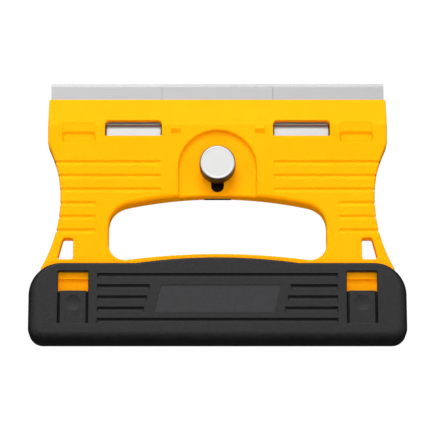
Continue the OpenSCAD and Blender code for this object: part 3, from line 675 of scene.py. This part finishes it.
# %% [markdown]
# ## Front shell: the recesses
# Now the mould's cores are made: the finger hole with its broad rounded rim, the arched recess for the
# knob, the stud's slot, the two windows, the catch recesses for the snap tongues and the lanyard slots.
# Cores near the crease are sheared with the nose as well, so their rims lie on the sloping face.

# %% Cores of the front shell
hole_rim, arch_rim, window_rim, lanyard_rim, slot_rim, floor_rim = 1.5, 0.7, 0.3, 0.5, 0.2, 0.9
stud_travel, slot_half = 6.9, 2.25
arch_y, arch_r = knob_y - 0.45, 13.8
tongue_in, tongue_out = tongue_low.x + skirt, tongue_high.x - skirt
catch_wide, window_gap = 11.4, 3.6
window_in, window_out = 19.9, tongue_out - catch_wide - window_gap
window_top_y, window_low_y = nose_y - 8.9, nose_y - 14.9
catch_top_y, catch_mid_y, catch_low_y = crease_y + 1.0, crease_y - 2.8, crease_y - 6.6


def arch_cutter():
    """Arch round the knob with a rounded foot; its straight sides run into the finger hole."""
    foot = [(-0.5, 0), (-0.24, 0.07), (-0.07, 0.24), (0, 0.5)]
    outline = symmetric(arc(arch_r - 0.2, -1.8, 0.2, -90, 0, 2) + arc(0, arch_y, arch_r, 0, 90, 32))
    return loft(outline, [(grow, panel_z + rise, 0) for grow, rise in foot]
                + rounding(arch_rim, face_z, 1) + [(arch_rim, face_z + 3, 0)])


def window_cutter():
    """Window with nearly sharp lower corners and round upper ones."""
    corners = [(window_in, window_low_y, 0.4), (window_out, window_low_y, 0.4),
               (window_out, window_top_y, 1.6), (window_in, window_top_y, 1.6)]
    return follow_nose(cutter(rounded(corners), lip_z - 1, face_z, window_rim), face_z - 2)


def catch_cutter():
    """Level upper floor and a deeper pocket behind a sloping step."""
    width = (tongue_out - catch_wide, tongue_out)
    upper = cutter(bar_plan(*width, catch_mid_y - 0.5, catch_top_y, 0.35), face_z - 0.5, face_z, 0.3)
    wall = [(-0.75, -1.3), (-0.5, -1.25), (0.2, -0.6), (0.4, -0.45), (0.5, -0.2), (0.6, 0), (0.6, 2)]
    plan = bar_plan(*width, catch_low_y, catch_mid_y, 1.0)
    plan = [(x, y, nx, ny, 1 if ny > 0.5 else 0.5) for x, y, nx, ny, soft in plan]
    lower = loft(plan, [(grow, face_z + z, 0) for grow, z in wall])
    return combined(upper, lower, "UNION")


def stud_slot():
    """Long slot that the knob's stud slides in."""
    points = arc(knob_x, knob_y, slot_half, 0, 180, 16)
    points += arc(knob_x, knob_y - stud_travel, slot_half, 180, 360, 16)
    return cutter(points, part_z - 1, panel_z, slot_rim)


print("windows from", round(window_in, 2), "to", round(window_out, 2))

# %% [markdown]
# The cores are cut in turn. Behind the face, the far walls of the lanyard slots lean away, so that light
# passes straight through. Where the arch's floor meets the finger hole, the floor gets a rim of its own,
# made by the part of the hole's cutter that lies inside the arch.

# %% Cut the front shell open
front = cut(front, [arch_cutter(), both_sides(window_cutter()), both_sides(catch_cutter())])
front = cut(front, [cutter(hole_outline(), lip_z - 1, face_z, hole_rim),
                    both_sides(cutter(lanyard_outline(), lip_z - 1, face_z, lanyard_rim))])
front = cut(front, [both_sides(undercut(0.6))])
floor_edge = combined(cutter(hole_outline(), lip_z - 1, panel_z, floor_rim),
                      block(-arch_r, arch_r, hole_low_y, arch_y, lip_z - 2, panel_z + 2), "INTERSECT")
front = cut(front, [floor_edge, stud_slot()])
print("front shell opened", len(front.faces), "faces")

# %% [markdown]
# Six grip grooves cross each side of the waist. Each is deepest along its upper edge and runs out to
# nothing below, so a thumb slides over it one way and holds the other way. A small nick marks the end of
# each groove in the outline.

# %% Grip grooves and nicks
groove_pitch, groove_depth, groove_run, groove_steep, groove_end = 5.02, 0.55, 2.1, 0.65, 0.7
groove_first_y, upper_in, lower_in = nose_y - 24.05, 20.0, hole_half + 4.4
nick_d, nick_depth = 1.4, 0.5


def groove(x0, x1, y, z, depth, run, steep, end):
    """Cutter for a groove that is deepest near its upper edge; its two ends rise over a short length."""
    section = [(0.2, 0.8), (0.1, 0.02), (0, -0.07 * depth), (0.12 - steep, 0.16 * depth - depth),
               (-0.02 - steep, 0.02 * depth - depth), (-0.2 - steep, 0.02 * depth - depth),
               (0.25 - run, -0.09 * depth), (-run - 0.05, 0.02), (-run - 0.15, 0.8)]
    turns = [pi / 2 * i / 5 for i in range(6)]
    spots = [(x0 + end * (1 - cos(t)), sin(t)) for t in turns]
    spots += [(x1 - end * (1 - cos(t)), sin(t)) for t in reversed(turns)]
    rings = []
    for x, share in spots:
        sunk = [(dy, dz if dz > 0 else dz * share + 0.03 * (1 - share)) for dy, dz in section]
        rings.append([(x, y + dy, z + dz) for dy, dz in sunk])
    return skinned(rings)


def waist_edge(y):
    """Half width of the waist at y."""
    r = waist_top_r if y > waist_y else waist_low_r
    return waist_half + r - sqrt(r ** 2 - (y - waist_y) ** 2)


def side_nicks():
    """Cutters for the nicks in both shells, one at the end of each groove."""
    nicks = []
    for y in groove_rows:
        nick_y = y - groove_run / 3
        x = waist_edge(nick_y) + nick_d / 2 - nick_depth
        nicks.append(both_sides(post(x, nick_y, nick_d, -1, face_z + 1)))
    return nicks


groove_rows = [groove_first_y - row * groove_pitch for row in range(6)]
grooves = []
for row, y in enumerate(groove_rows):
    inner = upper_in if row < 3 else lower_in
    grooves.append(both_sides(groove(inner, bar_half + 8, y, face_z, groove_depth, groove_run,
                                     groove_steep, groove_end)))
front = cut(cut(front, grooves), side_nicks())
print("grooves", len(grooves) * 2)

# %% [markdown]
# Inside, the shell is cored out to keep its walls even, with pilot holes for the screws, channels for the
# raised tabs of the clamp plate, and the snap pockets in the bar that the cover's hooks drop into.

# %% Snap pockets, channels and cores
snap_play, snap_z, snap_top_y, ridge_y = 0.7, face_z - 1.2, mouth_y - 5.4, tongue_high.y - 1.7
snap_in, snap_out = tongue_in - snap_play, tongue_out + snap_play
lead_y, crest_y = ridge_y - 2.9, ridge_y - 1.4
arch_screw, shoulder_screw = (arch_r + 12.2, hole_top_y + 6), (waist_half - 5.2, hole_top_y + 6)
pillar_screw, bar_screw = (hole_half + 8, hole_top_y - 11), (hole_half - 8.5, (mouth_y + bar_end_y) / 2)
shell_screw_spots = [arch_screw, shoulder_screw, pillar_screw]
pilot_d, boss_r, core_wall = 2.55, 5, 3
core_z, core_top_y = face_z - 2, 14.5
shoulder_core = (arch_screw[0] + boss_r, shoulder_screw[0] - boss_r, hole_top_y, core_top_y)
pillar_core = (hole_half + core_wall, waist_half - core_wall, pillar_screw[1] + boss_r, hole_top_y)
bar_core_y = (bar_end_y + core_wall, mouth_y - core_wall)


def way_in():
    """Slope that lifts a hook over the ridge in front of its pocket."""
    bm = block(snap_in, snap_out, bar_end_y - 1, crest_y, snap_z, face_z + 1)
    for vert in bm.verts:
        if vert.co.z < face_z and vert.co.y > lead_y:
            vert.co.y = lead_y
    return bm


pockets = [block(snap_in, snap_out, ridge_y, snap_top_y, snap_z, face_z + 1), way_in()]
channels = [block(window_in + 0.15, window_out - 0.15, window_low_y - 9.2, window_top_y + 0.8,
                  part_z - 1, plate_high.z + 0.3)]
shoulder, pillar = (block(*plan, part_z - 1, core_z) for plan in (shoulder_core, pillar_core))
bar_side = block(bar_screw[0] + boss_r, snap_in - 2, *bar_core_y, part_z - 1, core_z)
bar_middle = block(boss_r - bar_screw[0], bar_screw[0] - boss_r, *bar_core_y, part_z - 1, core_z)
pilots = [post(x, y, pilot_d, part_z - 1, face_z - 1.5) for x, y in shell_screw_spots + [bar_screw]]
front = cut(front, [both_sides(bm) for bm in pockets + channels])
front = cut(front, [both_sides(bm) for bm in [shoulder] + pilots])
front = cut(front, [both_sides(pillar), both_sides(bar_side), bar_middle])
piece("front_shell_moulding", front, "body", "yellow_shell", "front_shell")

# %% [markdown]
# ## Safety cover
# The cover is a box that slides over the bar. Its sides and closed end are fully rounded and its open
# mouth is nearly sharp, so the softness of the outline falls from one at the sides to a fifth at the
# mouth. One block then cuts the room for the bar.

# %% Cover blank
cover_edge_r, mouth_soft = 3.3, 0.22
cover_wall_z, cover_floor_z, cover_end_wall, cover_play = 10.8, 1.2, 2.2, 0.3
past_mouth_y = 10


def cover_outline():
    """Outline of the cover; its mouth bows up in the middle."""
    top_r, low_r, rise_half = 11.2, 5.0, 28.6
    rise_r = (rise_half ** 2 + mouth_rise ** 2) / (2 * mouth_rise)
    swing = degrees(asin(rise_half / rise_r))
    right = arc(cover_half - low_r, cover_end_y + low_r, low_r, -90, 0, 14)
    right += arc(cover_half - top_r, mouth_y - top_r, top_r, 0, 90, 22, soft=(1, mouth_soft))
    right += arc(0, mouth_y + mouth_rise - rise_r, rise_r, 90 - swing, 90, 20, soft=(mouth_soft, mouth_soft))
    return symmetric(right)


cover_rings = rounding(cover_edge_r, 0, -1, 8, under=True) + rounding(cover_edge_r, cover_top_z, -1, 8)
cover = loft(cover_outline(), cover_rings)
room = block(-bar_half - cover_play, bar_half + cover_play, cover_end_y + cover_end_wall, past_mouth_y,
             cover_floor_z, cover_wall_z)
cover = cut(cover, [room])
print("cover blank", len(cover.faces), "faces")

# %% [markdown]
# Each snap tongue stands in a window with a rounded rim. A round groove across the window's foot takes the
# root that the tongue bends about, made from a post that is laid on its side. Two channels inside the
# front wall let the cover pass over the nubs.

# %% Tongue windows
tongue_root_y, tongue_mid_z = cover_end_y + 6.2, (cover_wall_z + cover_top_z) / 2
tongue_gap, opening_rim, root_d, channel_play = 0.78, 0.4, 1.3, 0.3
window_box = bar_plan(tongue_in - tongue_gap, tongue_out + tongue_gap, tongue_root_y, mouth_y - 3.1, 0.35)
root = post(0, 0, root_d, tongue_in - 0.05, tongue_out + 0.05)
for vert in root.verts:
    vert.co = Vector((vert.co.z, tongue_root_y + vert.co.x, tongue_mid_z + vert.co.y))
bmesh.ops.recalc_face_normals(root, faces=root.faces)
nub_channel = block(nub_x - nub_half - channel_play, nub_x + nub_half + channel_play,
                    mouth_y - 15, past_mouth_y, cover_wall_z - 0.2, 11.8)
cover = cut(cover, [both_sides(cutter(window_box, cover_wall_z - 1, cover_top_z, opening_rim)),
                    both_sides(nub_channel)])
cover = cut(cover, [both_sides(root)])
print("cover with windows", len(cover.faces), "faces")

# %% [markdown]
# Five grip grooves cross the front of the cover and use the same cutter as those of the waist, only
# steeper. The middle three stop beside the slanted panel, which is a bare field sunk by a quarter of a
# millimetre. Each groove ends in a short curl that turns down and runs out. The curls overlap the grooves,
# so they are cut afterwards.

# %% Grooves and panel of the cover
rib_pitch, rib_run, rib_depth, rib_steep, rib_end = 4.02, 1.45, 1.0, 0.12, 0.15
rib_half, rib_first_y = tongue_in - 3.9, mouth_y - 3.85
panel_half, panel_slant = 24.6, 1.0
field_sunk, field_corner = 0.25, 0.5
curl_steps = ((0.15, 0.6, 1.0), (1.35, 0.5, 0.9), (1.85, 0.3, 0.02))
curl_in = 0.05


def curl(x, y, way):
    """Cutter for the short curl at one end of a grip groove, which runs out as it turns down."""
    above_z = cover_top_z + 0.5
    rings = []
    for down, width, deep in curl_steps:
        far_x, deep_z = x + way * width, cover_top_z - deep
        corners = ((x, above_z), (far_x, above_z), (far_x, deep_z), (x, deep_z))
        rings.append([(corner_x, y - down, z) for corner_x, z in corners])
    return skinned(rings)


ribs, curls = [], []
for row in range(5):
    y = rib_first_y - row * rib_pitch
    lean = (row - 2) * panel_slant
    spans = [(-rib_half, rib_half)]
    if 0 < row < 4:
        spans = [(-rib_half, -panel_half - lean), (panel_half - lean, rib_half)]
    for x0, x1 in spans:
        ribs.append(groove(x0, x1, y, cover_top_z, rib_depth, rib_run, rib_steep, rib_end))
        curls += [curl(x0 + curl_in, y, 1), curl(x1 - curl_in, y, -1)]
field_low_y, field_top_y = field_y - field_tall / 2, field_y + field_tall / 2
field = rounded([(-field_half - field_lean, field_low_y, field_corner),
                 (field_half - field_lean, field_low_y, field_corner),
                 (field_half + field_lean, field_top_y, field_corner),
                 (field_lean - field_half, field_top_y, field_corner)])
cover = cut(cover, ribs + [loft(field, [(0, cover_top_z - field_sunk, 0), (0, cover_top_z + 2, 0)])])
cover = cut(cover, curls)
piece("cover_moulding", cover, "cover", "black_cover", "safety_cover")

# %% [markdown]
# ## Knob
# The knob is turned from aluminium bar and its side is knurled so that wet fingers can hold it. The
# profile is spun round its axis, and every second column of the side is then pressed in to make ridges.

# %% Knob
knob_r, knob_steps, knurl_depth = (knob_high.x - knob_low.x) / 2, 200, 0.2
chamfer, bore_r, bore_deep, face_step = 0.4, 1.975, 4.5, 0.02


def spun(profile, x, y, steps):
    """Turned solid: a profile of (radius, height) points spun round an upright axis at x, y."""
    bm = bmesh.new()
    verts = [bm.verts.new((x + r, y, z)) for r, z in profile]
    edges = [bm.edges.new(pair) for pair in zip(verts, verts[1:])]
    bmesh.ops.spin(bm, geom=verts + edges, cent=(x, y, 0), axis=(0, 0, 1), angle=2 * pi,
                   steps=steps, use_merge=True)
    bmesh.ops.remove_doubles(bm, verts=bm.verts, dist=0.001)
    bmesh.ops.recalc_face_normals(bm, faces=bm.faces)
    return bm


z0, z1 = knob_low.z, knob_high.z
foot = [(0, z0 + bore_deep), (bore_r, z0 + bore_deep), (bore_r, z0), (knob_r - 0.6, z0),
        (knob_r - 0.15, z0 + 0.42), (knob_r, z0 + 0.75)]
rim = [(knob_r, z1 - 0.75), (knob_r - 0.02, z1 - 0.6), (knob_r - 0.02, z1 - 0.5), (knob_r - 0.08, z1 - 0.42),
       (knob_r - chamfer, z1 - 0.08), (knob_r - chamfer - 0.08, z1 - 0.02), (knob_r - chamfer - 0.18, z1)]
face = [(knob_r - 1, z1), (knob_r - 1.1, z1 - face_step), (knob_r - 1.3, z1 - face_step), (0, z1 - face_step)]
knob = spun(foot + rim + face, knob_x, knob_y, knob_steps)
for vert in knob.verts:
    out = Vector((vert.co.x - knob_x, vert.co.y - knob_y, 0))
    column = round(atan2(out.y, out.x) / (2 * pi) * knob_steps)
    if out.length > knob_r - 0.03 and column % 2:
        vert.co -= out.normalized() * knurl_depth
piece("turned_knob", knob, "knob", "turned_aluminium", "knob")

# %% [markdown]
# ## Rear shell
# The rear shell is the same outline without the slope. Its back steps in behind the nose so that the cover
# can also sit there, and thins to a lip at the blades. As with the nose, loops are added across the blank
# and the points of the back are lifted, which keeps the rounded sides all along.

# %% Rear blank
rear_step, rear_wall, rear_lip, lip_run = 1.4, 2.4, 0.5, 4
step_y = nose_y + cover_play - (mouth_y - cover_end_y - cover_end_wall) - mouth_rise


def back_height(y):
    """Height of the back at y."""
    if y < step_y + 0.01:
        return 0
    return rear_step + rear_lip * max(0, y - nose_y + lip_run) / lip_run


rear_rings = rounding(side_round, 0, -1, under=True) + [(0, part_z - seam, 0), (-seam, part_z, 0)]
rear = loft(body_outline(), rear_rings)
loops_across(rear, [step_y, step_y + 0.02, nose_y - lip_run])
for vert in rear.verts:
    if vert.co.z < 2:
        vert.co.z += back_height(vert.co.y)
print("rear blank", len(rear.verts), "points")

# %% [markdown]
# Next come the sunk seats and holes of the screws, the cores, the finger hole and the lanyard slots with
# rims on this side, and the nicks. The back of the handle bar is sunk to make room for the cover's wall,
# with the cover's own outline as the cutter. The carrier's flat room is cut last, from one plan in the
# shape of a T, because two blocks that share a face would leave a seam.

# %% Cut the rear shell
head_room_d, shank_room_d, seat_z, clear_z = 5.6, 3.1, 2, 20
rear_gap, rear_hole_rim, rear_lanyard_rim = 0.8, 1.0, 0.4
tail_half, tail_end_y = 5.1, 18


def carrier_room():
    """Cutter for the flat room that the carrier slides in, which is open to the sides at the blades."""
    y0, y1, y2, narrow, wide = 17.5, left_low.y - stud_travel - 0.3, 90, 48.3, 90
    plan = [(-narrow, y0), (narrow, y0), (narrow, y1), (wide, y1),
            (wide, y2), (-wide, y2), (-wide, y1), (-narrow, y1)]
    return skinned([[(x, y, z) for x, y in plan] for z in (rear_wall, clear_z)])


seats = [(*spot, seat_z) for spot in shell_screw_spots] + [(*bar_screw, rear_step + seat_z)]
rear = cut(rear, [both_sides(post(x, y, head_room_d, -1, seat)) for x, y, seat in seats])
rear = cut(rear, [both_sides(post(x, y, shank_room_d, -1, part_z + 1)) for x, y, seat in seats])
rear = cut(rear, [both_sides(block(*shoulder_core, rear_wall, clear_z))])
rear = cut(rear, [both_sides(block(*pillar_core[:3], hole_top_y + 0.3, rear_wall, clear_z))])
hole_core = back_cutter(even(grown(hole_outline(), rear_gap)), rear_hole_rim, clear_z)
lanyard_core = back_cutter(grown(lanyard_outline(), rear_gap), rear_lanyard_rim, clear_z)
rear = cut(rear, [hole_core, both_sides(lanyard_core)])
rear = cut(rear, [both_sides(undercut(0))])
rear = cut(rear, [block(-tail_half, tail_half, 0, tail_end_y, rear_wall, clear_z)] + side_nicks())
bar_sink = loft(even(cover_outline()), [(cover_play, -1, 0), (cover_play, rear_step, 0)])
rear = cut(rear, [bar_sink, carrier_room()])
piece("rear_shell_moulding", rear, "body", "yellow_shell", "rear_shell")

# %% [markdown]
# ## Screws
# Eight small pan-head screws close the shells from the back. One profile is spun, a cross recess is cut
# into the head by two thin blocks, and each screw is turned by its own angle, as hand-driven screws are.

# %% Screws
head_tall, head_r, shank_r, tip_r = 1.6, 2.5, 1.25, 0.7
cross_long, cross_thin, cross_deep = 1.35, 0.3, 0.8


def pan_screw(x, y, seat):
    """Screw with its head towards the back."""
    low, tip_z = seat - head_tall, face_z - 1.8
    head = [(0, low), (0.9, low + 0.01), (1.7, low + 0.1), (2.2, low + 0.32), (2.44, low + 0.7),
            (head_r, low + 1.1), (head_r, seat)]
    shank = [(shank_r, seat), (shank_r, face_z - 2.6), (tip_r, tip_z), (0, tip_z)]
    bm = spun(head + shank, 0, 0, 32)
    for half_x, half_y in ((cross_long, cross_thin), (cross_thin, cross_long)):
        bm = cut(bm, [block(-half_x, half_x, -half_y, half_y, low - 1, low + cross_deep)])
    bmesh.ops.rotate(bm, cent=(0, 0, 0), matrix=Matrix.Rotation(x * 7 + y, 3, "Z"), verts=bm.verts)
    bmesh.ops.translate(bm, vec=(x, y, 0), verts=bm.verts)
    return bm


def screw_pairs(spots, seat):
    """Screws at the given spots on both sides of the tool."""
    return poured([pan_screw(side * x, y, seat) for x, y in spots for side in (-1, 1)])


piece("pan_screws", screw_pairs(shell_screw_spots, seat_z), "body", "zinc_screw", "shell_screws")
piece("handle_screws", screw_pairs([bar_screw], rear_step + seat_z), "body", "zinc_screw", "bar_screws")

# %% [markdown]
# ## Snap tongues
# Each tongue is a flat spring moulded with the cover: press its thumb dish and the hook at its tip leaves
# the pocket in the bar. Its side profile is an outline too, lofted across the tool, so its long edges can be
# rounded. The sloping skirts beside it hide the bar, which is why its slots look black.

# %% Tongue blank
plate_edge, hook_edge, hook_corner = 0.19, 0.08, 0.12


def across(bm):
    """Turns a loft that was drawn in Y and Z so that its length runs along X."""
    for vert in bm.verts:
        vert.co = Vector((vert.co.z, vert.co.x, vert.co.y))
    return bm


def spring(outline, edge):
    """Profile lofted across the tongue's width, with rounded long edges."""
    turn = rounding(edge, 0, -1, under=True)
    start = [(grow, tongue_in + rise, 0) for grow, z, rise in turn]
    end = [(grow, tongue_out - rise, 0) for grow, z, rise in reversed(turn)]
    return across(loft(outline, start + end))


tongue_top_y, tongue_low_z, tongue_top_z = tongue_high.y, tongue_mid_z - 0.6, tongue_mid_z + 0.6
plate_side = rounded([(tongue_root_y - 0.6, tongue_low_z, 0.58), (tongue_top_y, tongue_low_z, 0.2),
                      (tongue_top_y, tongue_top_z, 0.3), (tongue_root_y - 0.6, tongue_top_z, 0.58)])
hook_tip_y, hook_back_y = tongue_top_y - 0.02, tongue_top_y - 1.4
hook_points = [(tongue_top_y - 1.0, tongue_low.z), (tongue_top_y - 0.6, tongue_low.z),
               (hook_tip_y, tongue_low.z + 0.6), (hook_tip_y, tongue_mid_z),
               (hook_back_y, tongue_mid_z), (hook_back_y, tongue_low_z)]
hook_side = rounded([(y, z, hook_corner) for y, z in hook_points])
tongue = combined(spring(plate_side, plate_edge), spring(hook_side, hook_edge), "UNION")
print("tongue blank", len(tongue.faces), "faces")

# %% [markdown]
# The skirts are one loft from the root to the tip. The dish is cut by a large sphere that dips only a
# little into the plate. The left tongue is a mirror image, and mirroring turns a mesh inside out, so its
# faces are reversed.

# %% Skirts, thumb dish and mirror image
reach = skirt + 0.13
slope_low_z, slope_mid_z, slope_top_z = tongue_low_z + 0.02, tongue_low_z + 0.3, tongue_top_z - 0.3
slopes = [(tongue_in - reach, slope_low_z), (tongue_out + reach, slope_low_z),
          (tongue_out + reach, slope_mid_z), (tongue_out - 0.05, slope_top_z),
          (tongue_in + 0.05, slope_top_z), (tongue_in - reach, slope_mid_z)]
skirts = skinned([[(x, y, z) for x, z in slopes] for y in (tongue_root_y + 0.15, tongue_top_y - 0.2)])
tongue = combined(tongue, skirts, "UNION")
dish_x, dish_y, dish_half, dish_depth = (tongue_in + tongue_out) / 2, tongue_top_y - 4.4, 2.8, 0.3
dish_r = (dish_half ** 2 + dish_depth ** 2) / (2 * dish_depth)
dish = bmesh.new()
bmesh.ops.create_uvsphere(dish, u_segments=64, v_segments=192, radius=dish_r)
bmesh.ops.translate(dish, vec=(dish_x, dish_y, tongue_top_z + dish_r - dish_depth), verts=dish.verts)
tongue = cut(tongue, [dish])
other = tongue.copy()
bmesh.ops.scale(other, vec=(-1, 1, 1), verts=other.verts)
bmesh.ops.reverse_faces(other, faces=other.faces)
piece("snap_tongue_right", tongue, "tongue_right", "black_cover", "cover_tongue_right")
piece("snap_tongue_left", other, "tongue_left", "black_cover", "cover_tongue_left")

# %% [markdown]
# ## Clamp plate
# The spring-steel plate shows in the two windows, where each raised tab carries two fine press lines. The
# rest of it is hidden, so it isn't modelled again: a merged copy of the packed mesh has its tabs drawn out
# a little under the upper rim of the windows, and a folded strip cuts the lines.

# %% Clamp plate
tab_z, tab_shift = plate_high.z, 0.55
press = [(-0.65, 0.5), (-0.6, 0.01), (-0.15, -0.48), (0.3, -0.02), (0.55, -0.03), (1.0, -0.5), (1.4, -0.08),
         (2.4, -0.08), (2.4, 0.5)]


def merged_copy(node):
    """Packed node as a bmesh in millimetres, with its flat faces whole again."""
    bm = bmesh.new()
    bm.from_mesh(frame["nodes"][node].data)
    bmesh.ops.scale(bm, vec=(1 / MM, 1 / MM, 1 / MM), verts=bm.verts)
    bmesh.ops.remove_doubles(bm, verts=bm.verts, dist=0.001)
    bmesh.ops.dissolve_limit(bm, angle_limit=radians(1), verts=bm.verts, edges=bm.edges)
    return bm


plate = merged_copy("clamp_plate")
for vert in plate.verts:
    if vert.co.z > tab_z - 0.8 and vert.co.y > crease_y:
        vert.co.y += tab_shift
press_lines = skinned([[(x, crease_y + dy, tab_z + dz) for dy, dz in press]
                       for x in (window_in - 0.5, window_out + 0.5)])
piece("pressed_plate", cut(plate, [both_sides(press_lines)]), "carrier", "spring_steel", "clamp_plate")

# %% [markdown]
# ## Blades
# The three blades stand end to end, and only a hair line shows between them. The packed blades leave a
# wider gap, so the points beside each joint are drawn nearer to it in a merged copy, and a small bevel
# breaks the upper edge of each end, which gives the joint its thin dark line.

# %% Blades
seam_x, seam_reach, seam_share, end_bevel = -(left_high.x + box_mm("blade_middle")[0].x) / 2, 0.1, 10, 0.06


def ground_blade(node):
    """Blade whose inner ends meet the next blade but for a hair, with their top edges broken."""
    bm = merged_copy(node)
    top = max(vert.co.z for vert in bm.verts) - 0.01
    for vert in bm.verts:
        joint_x = seam_x if vert.co.x > 0 else -seam_x
        if abs(vert.co.x - joint_x) < seam_reach:
            vert.co.x = joint_x + (vert.co.x - joint_x) / seam_share
    ends = [edge for edge in bm.edges
            if all(abs(abs(vert.co.x) - seam_x) < 0.01 and vert.co.z > top for vert in edge.verts)]
    bmesh.ops.bevel(bm, geom=ends, offset=end_bevel, segments=1, profile=0.5, affect="EDGES", material=-1)
    return bm


for node in ("blade_left", "blade_middle", "blade_right"):
    piece("ground_" + node, ground_blade(node), "carrier", "blade_steel", node)

# %% [markdown]
# ## Pieces that keep their packed shape
# The carrier, its pins and screws, and the knob's stud, nut and washer already have their true shape, so
# only their finish changes: each packed node takes the finish of its own material slot.

# %% Finish the packed nodes
for part in frame["record"]["subparts"]:
    node = frame["nodes"][part["node"]]
    node.data.materials.clear()
    node.data.materials.append(finishes[part["material_slot"]])
print("packed nodes finished", len(frame["nodes"]))

# %% [markdown] ## Floor The tool lies on a plain white sheet that glows a little, as a lit product table
# does, so that hardly any shadow shows on it.

# %% Floor
sheet_half, sheet_gap, sheet_glow = 3, 0.0002, 0.97
floor_mesh = bpy.data.meshes.new("floor")
sheet = bmesh.new()
bmesh.ops.create_grid(sheet, x_segments=1, y_segments=1, size=sheet_half)
bmesh.ops.translate(sheet, vec=(0, 0, -sheet_gap), verts=sheet.verts)
sheet.to_mesh(floor_mesh)
sheet.free()
floor = bpy.data.objects.new("floor", floor_mesh)
scene.collection.objects.link(floor)
shader, start, place = new_finish("floor_sheet", Roughness=0.9, Specular_IOR_Level=0.1,
                                  Emission_Color=(1, 1, 1, 1), Emission_Strength=sheet_glow)
feed(shader, Base_Color=start.blend(start.noise(place, 8, 2), (0.05, 0.05, 0.05), (0.055, 0.055, 0.055)))
floor_mesh.materials.append(finishes["floor_sheet"])
floor.visible_glossy = False
floor.visible_diffuse = False
